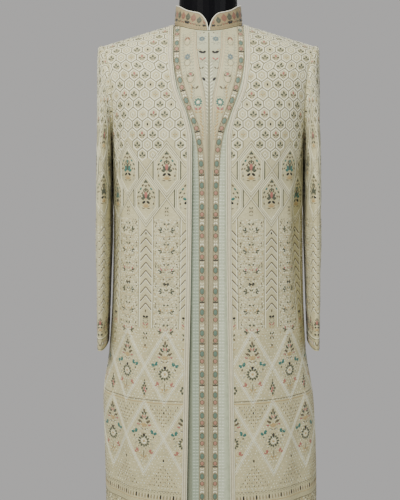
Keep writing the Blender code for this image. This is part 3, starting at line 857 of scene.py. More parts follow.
@dataclass
class Patch:
    """A cloth piece as a grid of points, its rows up the piece and its columns across it."""
    name: str
    outer: Array
    inner: Array
    across: Array
    along: Array
    flip: bool

    def quads(self, offset: int, flip: bool) -> list[tuple[int, int, int, int]]:
        """Faces of a grid whose first vertex has the given number."""
        rows, columns = self.outer.shape[:2]
        faces = []
        for row in range(rows - 1):
            for column in range(columns - 1):
                near = offset + row * columns + column
                face = (near, near + 1, near + columns + 1, near + columns)
                faces.append(face[::-1] if flip else face)
        return faces

    def rim(self) -> list[tuple[int, int, int, int]]:
        """Faces of the wall's edge, between the two grids."""
        rows, columns = self.outer.shape[:2]
        count = rows * columns
        bottom = list(range(columns))
        right = [row * columns + columns - 1 for row in range(1, rows)]
        top = list(range(count - 2, count - columns - 1, -1))
        left = [row * columns for row in range(rows - 2, 0, -1)]
        ring = bottom + right + top + left
        faces = [(first, first + count, after + count, after)
                 for first, after in zip(ring, ring[1:] + ring[:1])]
        return [face[::-1] for face in faces] if self.flip else faces

    def mesh(self, name: str, points: Array, faces: list, across: Array,
             along: Array) -> bpy.types.Mesh:
        """A smooth mesh with the cloth's own UV map."""
        mesh = bpy.data.meshes.new(name)
        mesh.from_pydata(points.reshape(-1, 3).tolist(), [], faces)
        layer = mesh.uv_layers.new(name=CLOTH_UV)
        corners = np.empty(len(mesh.loops), dtype=np.int32)
        mesh.loops.foreach_get("vertex_index", corners)
        uv = np.stack((across.ravel(), along.ravel()), axis=-1)[corners]
        layer.uv.foreach_set("vector", uv.astype(np.float32).ravel())
        mesh.shade_smooth()
        return mesh

    def shell(self, material: bpy.types.Material) -> bpy.types.Object:
        """The piece as a closed wall of cloth."""
        count = self.across.size
        faces = self.quads(0, self.flip) + self.quads(count, not self.flip) + self.rim()
        mesh = self.mesh(self.name, np.concatenate((self.outer, self.inner)), faces,
                         np.concatenate((self.across, self.across)),
                         np.concatenate((self.along, self.along)))
        mesh.set_sharp_from_angle(angle=math.radians(55))
        mesh.materials.append(material)
        return show(self.name, mesh)

    def face(self) -> bpy.types.Object:
        """The outer face alone, for stitches to be sewn on."""
        mesh = self.mesh(f"{self.name}_face", self.outer, self.quads(0, self.flip), self.across,
                         self.along)
        return show(mesh.name, mesh)

    def cut_size(self) -> tuple[tuple[float, float], float]:
        """Width and length of the flat cut, and its flat area."""
        across, along = self.across, self.along
        quad = [np.stack((across[rows, columns], along[rows, columns]))
                for rows, columns in ((np.s_[:-1], np.s_[:-1]), (np.s_[:-1], np.s_[1:]),
                                      (np.s_[1:], np.s_[1:]), (np.s_[1:], np.s_[:-1]))]
        first, second = quad[2] - quad[0], quad[3] - quad[1]
        area = float(np.abs(first[0] * second[1] - first[1] * second[0]).sum() / 2)
        width, length = float(np.ptp(across)), float(np.ptp(along))
        return (width, length), max(area, LEAST_CUT_SHARE * width * length)


def steps_between(points: Array, axis: int) -> Array:
    """Distance along a grid of points from its first row or column."""
    lengths = np.linalg.norm(np.diff(points, axis=axis), axis=-1)
    start = np.zeros_like(np.take(lengths, [0], axis=axis))
    return np.concatenate((start, np.cumsum(lengths, axis=axis)), axis=axis)


def even(count: int) -> list[float]:
    """Shares of a length cut into equal steps."""
    return [step / count for step in range(count + 1)]


@dataclass(frozen=True)
class Cutter:
    """Cuts pieces from the body surface."""
    body_step: float = 0.006
    shoulder_rows: int = 52
    narrowest: float = 0.0012

    def rises(self, hem: float) -> Array:
        """Rises of a piece's rows, from its hem to the shoulder seam."""
        low = SURFACE.rise_at(hem)
        count = round((SURFACE.shoulder_base - hem) / self.body_step)
        below = low * (1 - np.arange(count) / count)
        return np.concatenate((below, SURFACE.crest * np.array(even(self.shoulder_rows))))

    def cut(self, name: str, side: Side, face: Face,
            columns: Sequence[tuple[Line, Optional[Line], float]], hem: float,
            depth_at: Callable[[Array], Array], wall: float, grain: Line,
            measure: Measure = Measure.UPRIGHT) -> Patch:
        """Cut one piece.

        Args:
            name: the piece's name.
            side: side of the wearer.
            face: front or back.
            columns: inner line, outer line or None for the side seam, and share between them.
            hem: height of the piece's lower edge.
            depth_at: depth of its outer face, by rise.
            wall: thickness of the cloth.
            grain: the line that the UV map is measured from.
            measure: how its cloth is measured.

        Returns:
            The piece as a grid.
        """
        nominal = self.rises(hem)
        places = [SURFACE.settle(side, face, nominal, *column) for column in columns]
        turn, rise = (np.stack(values, axis=1) for values in zip(*places))
        outer, inner = (SURFACE.skin(side, face, turn, rise, depth_at(rise) + extra)
                        for extra in (0.0, wall))
        if measure is Measure.UPRIGHT:
            across, along = self.upright(outer, rise, side, grain)
        else:
            across, along = self.follow(outer, side, face)
        wide = np.linalg.norm(outer[:, -1] - outer[:, 0], axis=-1) > self.narrowest
        return Patch(name, outer[wide], inner[wide], across[wide], along[wide],
                     flip=side * face > 0)

    @staticmethod
    def upright(points: Array, rise: Array, side: Side, grain: Line) -> tuple[Array, Array]:
        """Measure across the rows from a line, and up from the floor."""
        first = side * points[:, :1, 0] - grain(points[:, :1, 2])
        across = first + steps_between(points, 1)
        climb = steps_between(points, 0)
        start = climb[np.argmin(np.abs(rise[:, 0]))]
        along = np.where(rise > 0, SURFACE.shoulder_base + climb - start, points[..., 2])
        return across, along

    @staticmethod
    def follow(points: Array, side: Side, face: Face) -> tuple[Array, Array]:
        """Measure square to the piece's middle column, and along it."""
        middle = points[:, points.shape[1] // 2]
        tangent = np.gradient(middle, axis=0)
        tangent /= np.linalg.norm(tangent, axis=-1, keepdims=True)
        offset = points - middle[:, None]
        slip = np.einsum("rck,rk->rc", offset, tangent)
        square = offset - slip[..., None] * tangent[:, None]
        sign = np.sign(np.arange(points.shape[1]) - points.shape[1] // 2)
        across = sign * np.linalg.norm(square, axis=-1)
        length = steps_between(middle[:, None], 0)
        return across, points[0, 0, 2] + length + slip


CUTTER = Cutter()


def dress(piece: bpy.types.Object, node: str, patch: Optional[Patch] = None,
          rests_on: Sequence[str] = ("form_torso",)) -> None:
    """Attach a piece to its body, hide the node that it stands for and measure its cut."""
    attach(piece, BODY)
    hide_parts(node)
    if patch:
        flat, area = patch.cut_size()
    log.info("%s: %d faces", piece.name, len(piece.data.polygons))


@dataclass(frozen=True)
class CoatPanels:
    """The coat's own fronts and backs."""
    hem: float = 0.420
    front_columns: int = 52
    back_columns: int = 46
    neck_columns: int = 14

    def straight_edge(self, height: Array) -> Array:
        """The coat's edge, carried straight up past the start of its V."""
        return coat_edge(np.minimum(height, 1.240))

    def front(self, side: Side) -> Patch:
        """One front, measured from its edge."""
        columns = [(coat_edge, band_edge, share) for share in (0.0, 1 / 3, 2 / 3)]
        columns += [(band_edge, None, share) for share in even(self.front_columns)]
        return CUTTER.cut(f"front_{side.word}_cloth", side, Face.FRONT, columns, self.hem,
                          LAYERS.coat, LAYERS.coat_wall, self.straight_edge)

    def back(self, side: Side) -> Patch:
        """One back, measured from its middle, with columns crowded towards the neck point."""
        neck = SURFACE.neck_half_width / SURFACE.shoulder_tip
        outs = [neck * math.sin(math.radians(82 * share)) for share in even(self.neck_columns)]
        outs += [mix(neck, 1.0, share) for share in even(self.back_columns - self.neck_columns)]
        columns = [(middle_line, None, math.asin(out ** 1.5) / (math.pi / 2)) for out in outs]
        return CUTTER.cut(f"back_{side.word}_cloth", side, Face.BACK, columns, self.hem,
                          LAYERS.coat, LAYERS.coat_wall, middle_line)

    def build(self, wardrobe: Wardrobe) -> dict[str, Patch]:
        """Make all four panels, and return them by node."""
        made = {}
        for side in Side:
            for node, patch in ((f"front_{side.word}", self.front(side)),
                                (f"back_{side.word}", self.back(side))):
                piece = patch.shell(wardrobe.get(Finish.BROCADE))
                dress(piece, node, patch)
                made[node] = patch
        return made


@dataclass(frozen=True)
class InnerFronts:
    """The satin fronts under the coat, and the pieces sewn on them and on the coat's edge."""
    hem: float = 0.432
    coat_hem: float = 0.420
    satin_columns: int = 12

    def satin(self, side: Side) -> Patch:
        """One satin front, from the closing to just past the coat's edge."""
        columns = [(middle_line, middle_line, 0.0), (bib_seam, bib_seam, 0.0),
                   (ribbon_inner, ribbon_inner, 0.0), (ribbon_middle, ribbon_middle, 0.0)]
        columns += [(ribbon_outer, satin_edge, share) for share in even(self.satin_columns)]
        return CUTTER.cut(f"inner_front_{side.word}_cloth", side, Face.FRONT, columns, self.hem,
                          LAYERS.satin, LAYERS.satin_wall, middle_line)

    def trims(self, side: Side) -> dict[str, tuple[Patch, Finish]]:
        """Bib, yoke, ribbon and edge band of one side, by node, with their finishes."""
        word = side.word

        def lay(node: str, inner: Line, outer: Line, steps: int, measure: Measure) -> Patch:
            """Cut one trim between two lines."""
            on_coat = node == "edge_band"
            return CUTTER.cut(f"{node}_{word}_cloth", side, Face.FRONT,
                              [(inner, outer, share) for share in even(steps)],
                              self.coat_hem if on_coat else self.hem,
                              LAYERS.band if on_coat else LAYERS.trim, LAYERS.trim_wall,
                              middle_line, measure)

        return {
            f"bib_{word}": (lay("bib", middle_line, bib_edge, 8, Measure.UPRIGHT), Finish.BIB),
            f"yoke_{word}": (lay("yoke", yoke_inner, yoke_outer, 8, Measure.UPRIGHT),
                             Finish.YOKE),
            f"ribbon_{word}": (lay("ribbon", ribbon_inner, ribbon_outer, 4, Measure.ALONG),
                               Finish.RIBBON),
            f"edge_band_{word}": (lay("edge_band", coat_edge, band_edge, 4, Measure.ALONG),
                                  Finish.EDGE_BAND),
        }

    def build(self, wardrobe: Wardrobe) -> dict[str, Patch]:
        """Make every piece of both sides, and return them by node."""
        made = {}
        for side in Side:
            pieces = {f"inner_front_{side.word}": (self.satin(side), Finish.SATIN)}
            pieces.update(self.trims(side))
            for node, (patch, finish) in pieces.items():
                carrier = f"front_{side.word}" if "band" in node else f"inner_front_{side.word}"
                dress(patch.shell(wardrobe.get(finish)), node, patch,
                      ["form_torso"] if "inner" in node else [carrier])
                made[node] = patch
        return made


@dataclass(frozen=True)
class Sleeves:
    """The two-piece sleeves, seamed at the front and back of the arm."""
    row_step: float = 0.006
    columns: int = 34
    seam_turn: float = 0.0036
    cuff: float = 0.798

    def armhole_points(self, side: Side, angle: Array, ring: Array) -> Array:
        """Points of rings that still follow the armhole, widened to their sections."""
        crest = SURFACE.shoulder_base + SURFACE.shoulder_rise
        middle, half = (crest + SURFACE.armpit) / 2, (crest - SURFACE.armpit) / 2
        level = middle + half * np.cos(angle)
        ahead = SURFACE.armhole(side, Face.FRONT, level)
        behind = SURFACE.armhole(side, Face.BACK, level)
        forward = np.sin(angle) >= 0
        out = np.where(forward, ahead[0], behind[0])
        depth = np.where(forward, -ahead[1], behind[1])
        ratio = np.clip((level - SURFACE.shoulder_base) / SURFACE.shoulder_rise, 0.0, 1.0)
        height = level - ratio ** 2 * SURFACE.shoulder_fall(out)
        upper = (1 + np.cos(angle)) / 2
        change = {name: read(SLEEVE_RINGS, ring, name) - getattr(SLEEVE_RINGS[0], name)
                  for name in ("outer", "inner", "top", "under")}
        out = out + change["outer"] * upper + change["inner"] * (1 - upper)
        height = height + change["top"] * upper + change["under"] * (1 - upper)
        return np.stack((side * (out + 2 * SURFACE.seam_gap), depth + 0 * ring, height), axis=-1)

    def points(self, side: Side, angle: Array, ring: Array) -> Array:
        """Points of the sleeve: angle 0 faces outwards, a quarter turn faces forwards."""
        across, along = squared(np.cos(angle)), squared(np.sin(angle))
        size = {name: read(SLEEVE_RINGS, ring, name) for name in SleeveRing._fields[1:]}
        oval = np.stack((
            side * (mix(size["inner"], size["outer"], 0.5)
                    + (size["outer"] - size["inner"]) / 2 * across),
            size["middle"] - size["half_depth"] * along,
            mix(size["under"], size["top"], 0.5) + (size["top"] - size["under"]) / 2 * across),
            axis=-1)
        return mix(oval, self.armhole_points(side, angle, ring), size["follow"][..., None])

    def rings(self) -> Array:
        """Ring numbers of the rows from cuff to cap, evenly spaced down the outside."""
        fine = np.linspace(len(SLEEVE_RINGS) - 1, 0, 600)
        line = self.points(Side.LEFT, np.full_like(fine, 0.9), fine)
        length = steps_between(line[:, None], 0)[:, 0]
        count = round(length[-1] / self.row_step)
        return np.interp(np.linspace(0, length[-1], count + 1), length, fine)

    def half(self, side: Side, half: str) -> Patch:
        """The upper or the under half, measured from the front seam and up from the cuff."""
        turn = {"upper": 1, "under": -1}[half]
        start = math.pi / 2 - turn * self.seam_turn
        angles = start - turn * np.array(even(self.columns)) * (math.pi - 2 * self.seam_turn)
        ring, angle = np.meshgrid(self.rings(), angles, indexing="ij")
        smooth_points = self.points(side, angle, ring)
        step = 0.01
        around = self.points(side, angle + step, ring) - self.points(side, angle - step, ring)
        low = np.clip(ring - 0.1, 0, len(SLEEVE_RINGS) - 1)
        high = np.clip(ring + 0.1, 0, len(SLEEVE_RINGS) - 1)
        upwards = self.points(side, angle, low) - self.points(side, angle, high)
        normal = np.cross(upwards, around) * side
        normal /= np.linalg.norm(normal, axis=-1, keepdims=True)
        inset = crease_depth(SLEEVE_CREASES, side, Face.FRONT, np.degrees(angle),
                             smooth_points[..., 2])
        seam = np.abs(np.cos(angle)) ** 0.5
        outer = smooth_points - normal * (inset * seam)[..., None]
        across = steps_between(outer, 1)
        along = self.cuff + steps_between(outer, 0)
        return Patch(f"sleeve_{side.word}_{half}_cloth", outer, outer - normal * LAYERS.coat_wall,
                     across, along, flip=side * turn < 0)

    def build(self, wardrobe: Wardrobe) -> dict[str, Patch]:
        """Make all four halves, and return them by node."""
        made = {}
        for side in Side:
            for half in ("upper", "under"):
                patch = self.half(side, half)
                node = f"sleeve_{side.word}_{half}"
                dress(patch.shell(wardrobe.get(Finish.BROCADE)), node,
                      patch, [f"front_{side.word}"])
                made[node] = patch
        return made


def new_tree(name: str, inputs: Mapping[str, str]) -> bpy.types.NodeTree:
    """A Geometry Nodes tree without nodes, with inputs of the given names and kinds."""
    tree = bpy.data.node_groups.new(name, "GeometryNodeTree")
    tree.interface.new_socket("Geometry", in_out="OUTPUT", socket_type="NodeSocketGeometry")
    for socket, kind in inputs.items():
        tree.interface.new_socket(socket, in_out="INPUT", socket_type=f"NodeSocket{kind}")
    return tree


class CordTree:
    """Geometry Nodes that turn a path into a round cord."""

    def __init__(self) -> None:
        """Build the tree once."""
        self.tree = new_tree("cord_along_path", {"Path": "Geometry", "Radius": "Float",
                                                 "Sides": "Int", "Material": "Material"})
        graph = Graph(self.tree)
        inputs = graph.node("NodeGroupInput").outputs
        curve = graph.node("GeometryNodeMeshToCurve", sockets={"Mesh": inputs["Path"]})
        round_profile = graph.node("GeometryNodeCurvePrimitiveCircle",
                                   sockets={"Resolution": inputs["Sides"],
                                            "Radius": inputs["Radius"]})
        tube = graph.node("GeometryNodeCurveToMesh",
                          sockets={"Curve": curve.outputs[0],
                                   "Profile Curve": round_profile.outputs[0],
                                   "Fill Caps": True})
        real = graph.node("GeometryNodeRealizeInstances", sockets={0: tube.outputs[0]})
        soft = graph.node("GeometryNodeSetShadeSmooth", sockets={0: real.outputs[0]})
        dressed = graph.node("GeometryNodeSetMaterial",
                             sockets={0: soft.outputs[0], "Material": inputs["Material"]})
        graph.node("NodeGroupOutput", sockets={0: dressed.outputs[0]})

    def build(self, name: str, path: Array, radius: float,
              material: bpy.types.Material, sides: int = 8) -> bpy.types.Object:
        """Make a cord along a path of points."""
        mesh = bpy.data.meshes.new(name)
        mesh.from_pydata(path.tolist(), [(step, step + 1) for step in range(len(path) - 1)], [])
        return apply_tree(name, mesh, self.tree, {"Radius": radius, "Sides": sides,
                                                  "Material": material})


def apply_tree(name: str, mesh: bpy.types.Mesh, tree: bpy.types.NodeTree,
               values: Mapping[str, object]) -> bpy.types.Object:
    """Run a Geometry Nodes tree on a mesh, and keep the result as a plain mesh.

    Args:
        name: the new object's name.
        mesh: the mesh that goes in.
        tree: the tree to run.
        values: its inputs, by name.

    Returns:
        An object with the resulting mesh and no modifier.
    """
    piece = show(name, mesh)
    modifier = piece.modifiers.new("Nodes", "NODES")
    modifier.node_group = tree
    for item in tree.interface.items_tree:
        if item.item_type == "SOCKET" and item.in_out == "INPUT" and item.name in values:
            modifier[item.identifier] = values[item.name]
    evaluated = piece.evaluated_get(bpy.context.evaluated_depsgraph_get())
    result = bpy.data.meshes.new_from_object(evaluated)
    piece.modifiers.remove(modifier)
    piece.data = result
    result.name = name
    bpy.data.meshes.remove(mesh)
    return piece


@dataclass(frozen=True)
class Collar:
    """The stand collar and the piping round its top edge and front ends."""
    front_height: float = 0.0325
    side_height: float = 0.0380
    rise_start: float = 0.045
    lean: float = 0.08
    corner: float = 0.026
    low_end: float = 0.003
    seat_front: float = 0.0020
    lift: float = 2.5 * SURFACE.seam_gap
    front_gap: float = 0.0031
    columns: int = 160
    rows: int = 8
    seat_ease: float = 0.25
    roundness: float = 0.6
    piping_radius: float = 0.0012

    def seat(self, turn: float) -> Array:
        """Point of the lower edge: turn is 0 in front and half a circle behind."""
        side = Side.LEFT if math.sin(turn) >= 0 else Side.RIGHT
        face = Face.FRONT if math.cos(turn) >= 0 else Face.BACK
        out = np.array(SURFACE.neck_half_width * abs(math.sin(turn)))
        rise = SURFACE.neck_rise(face, out)
        width, _, squareness, _ = SURFACE.section(side, face, rise)
        below = self.seat_front if face is Face.FRONT else 0.0
        depth = np.array(below * min(abs(math.cos(turn)) / self.seat_ease, 1.0))
        around = np.arcsin((out / width) ** (squareness / 2))
        return SURFACE.skin(side, face, around, rise, depth) + (0, 0, self.lift)

    def height_at(self, distance: float) -> float:
        """Height at a distance from the middle, rounded at the front end."""
        share = min((distance - self.front_gap) / (self.corner - self.front_gap), 1.0)
        ease = smooth((distance - self.rise_start)
                      / (SURFACE.neck_half_width - self.rise_start))
        full = mix(self.front_height, self.side_height, ease)
        return mix(self.low_end, full, (1 - (1 - max(share, 0.0)) ** 2) ** self.roundness)

    def grid(self, inset: float) -> Array:
        """Rows of the collar's face from its seat to its top edge, an inset further in."""
        start = math.asin(self.front_gap / SURFACE.neck_half_width)
        columns = []
        for share in even(self.columns):
            turn = mix(start, 2 * math.pi - start, share)
            seat = self.seat(turn)
            inwards = np.array((-seat[0], -seat[1], 0.0))
            inwards /= np.linalg.norm(inwards)
            ahead = math.cos(turn) > 0
            if ahead:
                blend = min(abs(seat[0]) / self.corner, 1.0)
                inwards = mix(np.array((0.0, 1.0, 0.0)), inwards, smooth(blend))
            height = self.height_at(abs(seat[0]) if ahead else SURFACE.neck_half_width)
            columns.append([seat + (0, 0, height * share_up)
                            + inwards * (self.lean * height * share_up + inset)
                            for share_up in even(self.rows)])
        return np.array(columns).transpose(1, 0, 2)

    def build(self, wardrobe: Wardrobe, cords: CordTree) -> dict[str, Patch]:
        """Make the collar and its piping."""
        outer, inner = self.grid(0.0), self.grid(LAYERS.coat_wall)
        across = steps_between(outer, 1)
        across += (across.max() - across[:, -1:]) / 2
        patch = Patch("collar_cloth_shell", outer, inner, across,
                      outer[..., 2] - outer[:1, :, 2], flip=False)
        dress(patch.shell(wardrobe.get(Finish.COLLAR)), "collar",
              patch, ["back_left", "back_right"])
        edge, inner_edge = (np.concatenate((face[:1, 0], face[-1], face[:1, -1]))
                            for face in (outer, inner))
        along = np.gradient(edge, axis=0)
        away = np.cross(along, inner_edge - edge)
        away /= np.linalg.norm(away, axis=-1, keepdims=True)
        away *= np.where(away[:, 2:] < -0.05, -1.0, 1.0)
        path = (edge + inner_edge) / 2 + away * (self.piping_radius + SURFACE.seam_gap)
        piping = cords.build("collar_piping_cord", path, self.piping_radius,
                             wardrobe.get(Finish.PIPING))
        dress(piping, "collar_piping")
        return {"collar": patch}


# Embroidery: threads, stitches and motifs


class Thread(Enum):
    """Embroidery threads, as the colours that they show."""
    CREAM = (0.66, 0.63, 0.42)
    PALE = (0.78, 0.77, 0.57)
    MINT = (0.66, 0.69, 0.55)
    # Mint in painted shade, for the satin's rungs on the wearer's right
    SEA = (0.46, 0.52, 0.41)
    SAND = (0.54, 0.45, 0.27)
    STONE = (0.34, 0.34, 0.23)
    LINE = (0.165, 0.150, 0.085)
    SHADE = (0.105, 0.085, 0.045)
    GREY_GREEN = (0.062, 0.070, 0.042)
    PINK = (0.34, 0.12, 0.09)
    ROSE = (0.34, 0.175, 0.115)
    TEAL = (0.030, 0.130, 0.105)
    JADE = (0.100, 0.165, 0.122)
    BLUE = (0.115, 0.160, 0.160)
    BLACK = (0.006, 0.005, 0.004)
    GOLD = (0.40, 0.28, 0.11)
    CHESTNUT = (0.21, 0.095, 0.055)


class Shape(IntEnum):
    """The shapes that a stitch can have."""
    LEAF = 0
    DOT = 1
    STRAND = 2


RELIEF = {Shape.LEAF: 0.55, Shape.DOT: 0.65, Shape.STRAND: 0.45}
MILLIMETRE = 0.001

# Columns of a motif's rows; the thread's colour follows them
X, Y, TURN, LENGTH, WIDTH, SHAPE, THREAD = range(7)
SIZES = [X, Y, LENGTH, WIDTH]


@dataclass(frozen=True)
class Motif:
    """Stitches of a design, one a row, in millimetres of flat cloth with y up the piece.

    The columns are x, y, turn, length, width, shape, and the thread's red, green and blue.
    """
    rows: Array

    def __add__(self, other: "Motif") -> "Motif":
        """Both designs together."""
        return Motif(np.concatenate((self.rows, other.rows)))

    def moved(self, x: float, y: float) -> "Motif":
        """The design at another place."""
        rows = self.rows.copy()
        rows[:, :2] += (x, y)
        return Motif(rows)

    def turned(self, degrees: float) -> "Motif":
        """The design turned to the left about its own origin."""
        angle = math.radians(degrees)
        rows = self.rows.copy()
        x, y = self.rows[:, X], self.rows[:, Y]
        rows[:, X] = x * math.cos(angle) - y * math.sin(angle)
        rows[:, Y] = x * math.sin(angle) + y * math.cos(angle)
        rows[:, TURN] += angle
        return Motif(rows)

    def scaled(self, factor: float) -> "Motif":
        """The design made larger or smaller."""
        rows = self.rows.copy()
        rows[:, SIZES] *= factor
        return Motif(rows)

    def mirrored(self) -> "Motif":
        """The design as a mirror shows it, left for right."""
        rows = self.rows.copy()
        rows[:, X] *= -1
        rows[:, TURN] = math.pi - rows[:, TURN]
        return Motif(rows)

    def short(self, longest: float) -> "Motif":
        """The design with its strands cut short, to lie on cloth that turns sharply."""
        count = np.where(self.rows[:, SHAPE] == Shape.STRAND,
                         np.ceil(self.rows[:, LENGTH] / longest), 1)
        source = np.repeat(np.arange(len(count)), count.astype(int))
        step = np.arange(len(source)) - (np.cumsum(count) - count)[source]
        rows = self.rows[source].copy()
        share = (step + 0.5) / count[source] - 0.5
        rows[:, X] += np.cos(rows[:, TURN]) * rows[:, LENGTH] * share
        rows[:, Y] += np.sin(rows[:, TURN]) * rows[:, LENGTH] * share
        rows[:, LENGTH] /= count[source]
        return Motif(rows)

    def both(self) -> "Motif":
        """The design with its mirror image beside it."""
        return self + self.mirrored()

    def at(self, places: Sequence[tuple[float, float]]) -> "Motif":
        """A copy of the design at each place."""
        return join([self.moved(x, y) for x, y in places])


def join(parts: Sequence[Motif]) -> Motif:
    """Designs put together, or none."""
    rows = [part.rows for part in parts]
    return Motif(np.concatenate(rows) if rows else np.zeros((0, 9)))


def stitch(x: float, y: float, degrees: float, length: float, width: float, thread: Thread,
           shape: Shape = Shape.LEAF) -> Motif:
    """One stitch that starts at a place and runs the way it is turned."""
    turn = math.radians(degrees)
    middle = (x + math.cos(turn) * length / 2, y + math.sin(turn) * length / 2)
    return Motif(np.array([[*middle, turn, length, width, shape, *thread.value]]))


def dot(x: float, y: float, size: float, thread: Thread, tall: float = 1.0) -> Motif:
    """A round knot, or an oval one that stands upright."""
    return Motif(np.array([[x, y, math.pi / 2, size * tall, size, Shape.DOT, *thread.value]]))


def line(path: Sequence[tuple[float, float]], width: float, thread: Thread,
         longest: float = 11.0) -> Motif:
    """Strands along a path, none longer than the cloth's curve allows."""
    parts = []
    for (x0, y0), (x1, y1) in zip(path, path[1:]):
        count = max(1, math.ceil(math.hypot(x1 - x0, y1 - y0) / longest))
        degrees = math.degrees(math.atan2(y1 - y0, x1 - x0))
        length = math.hypot(x1 - x0, y1 - y0) / count
        for step in range(count):
            parts.append(stitch(mix(x0, x1, step / count), mix(y0, y1, step / count), degrees,
                                length * 1.04, width, thread, Shape.STRAND))
    return join(parts)


def ring(radius: float, count: int, length: float, width: float, thread: Thread,
         start: float = 90.0) -> Motif:
    """Leaves that point outwards from a circle."""
    return join([stitch(radius, 0, 0, length, width, thread).turned(start + 360 * step / count)
                 for step in range(count)])


def curl(x: float, y: float, degrees: float, size: float, bend: float,
         thread: Thread) -> Motif:
    """A short curled stalk."""
    path = [(x, y)]
    for step in range(4):
        turn = math.radians(degrees + bend * step)
        path.append((path[-1][0] + math.cos(turn) * size / 4,
                     path[-1][1] + math.sin(turn) * size / 4))
    return line(path, 0.9, thread)


def loop(x: float, y: float, wide: float, tall: float, width: float,
         thread: Thread) -> Motif:
    """An upright oval outline."""
    turns = [math.tau * step / 14 for step in range(15)]
    return line([(x + wide / 2 * math.sin(turn), y + tall / 2 * math.cos(turn))
                 for turn in turns], width, thread)


# Small motifs


def sprig(main: Thread, side: Thread, stalk: Thread) -> Motif:
    """A small clover-like sprig: three leaves on a short stalk between two knots."""
    return (stitch(0, -0.8, 90, 7.4, 4.4, main) + pair(1.2, -2.8, 26, 7.0, 4.0, side)
            + dot(2.8, -5.8, 2.2, side).both() + stitch(0, -6.4, 90, 5.4, 1.4, stalk))


def lozenge() -> Motif:
    """A pale diamond of four strands round a knot."""
    path = [(0, 4.6), (3.6, 0), (0, -4.6), (-3.6, 0), (0, 4.6)]
    return (line(path, 1.5, Thread.PALE) + dot(0, 0.4, 2.0, Thread.STONE, 1.5)
            + dot(0, -2.4, 1.5, Thread.SHADE))


def seed_sprig() -> Motif:
    """Three small faint leaves."""
    return (stitch(0, 0, 90, 5.0, 2.2, Thread.STONE) + pair(0.6, -1.4, 30, 4.8, 2.2, Thread.GOLD)
            + stitch(0, -5.2, 90, 4.0, 1.1, Thread.SHADE))


def pair(x: float, y: float, degrees: float, length: float, width: float,
         thread: Thread) -> Motif:
    """A leaf and its mirror image."""
    return stitch(x, y, degrees, length, width, thread).both()


def medallion(heart: Thread, cheek: Thread) -> Motif:
    """A spade of leaves over a dark pair and a beige fan."""
    return (stitch(0, -4.0, 90, 15.0, 7.0, heart) + pair(1.8, -4.5, 62, 13.0, 5.6, cheek)
            + pair(3.4, -5.5, 26, 9.0, 5.4, cheek) + stitch(0, 10.0, 90, 9.0, 3.8, cheek)
            + pair(2.0, 8.0, 56, 7.4, 3.2, Thread.SHADE) + dot(0, -6.0, 3.0, Thread.GOLD)
            + pair(1.0, -8.6, -34, 9.4, 5.0, Thread.BLACK)
            + join([stitch(0, -22.0, angle, 10.0, 2.8, Thread.GOLD)
                    for angle in (28, 60, 90, 120, 152)])
            + pair(2.0, -24.0, 8, 8.0, 2.0, Thread.SHADE))


def palm_leaves() -> Motif:
    """Small leaves that follow the slants of a frame, over its medallion."""
    parts = []
    tones = (Thread.GREY_GREEN, Thread.SHADE, Thread.TEAL, Thread.GREY_GREEN)
    for step, thread in enumerate(tones):
        x, y = 4.2 + 4.8 * step, 33.0 - 7.2 * step
        parts.append(pair(x, y - 2.0, 128, 7.0, 3.4, thread))
        parts.append(pair(x - 3.4, y - 10.0, 130, 5.6, 2.8, Thread.SHADE))
    for step in range(4):
        parts.append(pair(19.6 - 1.6 * step, 0.0 - 6.8 * step, 112 - 14 * step, 6.0, 3.0,
                          (Thread.SHADE, Thread.STONE)[step % 2]))
    return join(parts) + stitch(0, 31, 90, 8.0, 3.6, Thread.GREY_GREEN)


def fans(thread: Thread, edge: Thread) -> Motif:
    """Two outward fans of three leaves under a pair of knots."""
    one = (stitch(8.6, -14.0, 20, 8.6, 3.6, thread) + stitch(8.8, -13.0, 66, 7.4, 3.4, edge)
           + stitch(8.0, -14.4, -34, 6.6, 3.0, thread)
           + stitch(2.6, -16.0, 20, 6.6, 1.5, Thread.SHADE) + dot(13.8, -5.0, 2.0, Thread.SHADE))
    low = [(0, -25.0), (8, -24.4), (16, -22.0)]
    return (one.both() + pair(1.2, -2.4, 32, 5.6, 3.4, Thread.GREY_GREEN)
            + stitch(0, -7.4, 90, 5.0, 1.8, Thread.GOLD) + pair(0.8, -12.6, 54, 5.4, 2.1, edge)
            + pair(19.0, -1.0, 70, 5.0, 2.6, Thread.SHADE)
            + pair(21.0, -7.0, 96, 4.4, 2.2, Thread.GREY_GREEN)
            + pair(20.6, -20.0, 60, 4.2, 2.0, Thread.GOLD) + line(low, 1.1, Thread.GOLD).both())


def heart_pair() -> Motif:
    """A black heart-like pair of leaves."""
    return pair(0.2, -2.2, 40, 7.4, 4.4, Thread.BLACK)


def chevron() -> Motif:
    """One dark chevron with a light strand under it."""
    arm = [(0.0, 0.0), (12.5, -14.0)]
    light = [(0.0, -2.8), (12.5, -16.8)]
    return (line(arm, 2.6, Thread.SHADE, 5) + line(light, 1.5, Thread.PALE, 5)).both()


def four_leaf() -> Motif:
    """Four small leaves in a diamond."""
    return (pair(1.2, 1.6, 60, 6.8, 3.2, Thread.GREY_GREEN)
            + pair(1.2, -1.6, -60, 6.8, 3.2, Thread.SHADE) + dot(0, 0, 2.4, Thread.PINK)
            + dot(5.0, 0, 1.8, Thread.GOLD).both())


def column_foot() -> Motif:
    """What stands under a column of chevrons, from its top down."""
    return (stitch(0, -7.0, 90, 6.6, 3.2, Thread.SHADE)
            + pair(0.4, -17.4, 26, 6.6, 5.0, Thread.BLACK)
            + ring(3.6, 8, 3.0, 2.0, Thread.GREY_GREEN).moved(0, -24.0)
            + pair(0.6, -35.0, 46, 9.0, 3.0, Thread.PINK)
            + pair(0.6, -41.0, 46, 10.0, 2.4, Thread.GOLD) + four_leaf().moved(0, -56)
            + stitch(0, -80.0, 90, 8.0, 4.0, Thread.SHADE)
            + pair(0.4, -83.0, 42, 6.0, 2.6, Thread.GOLD))


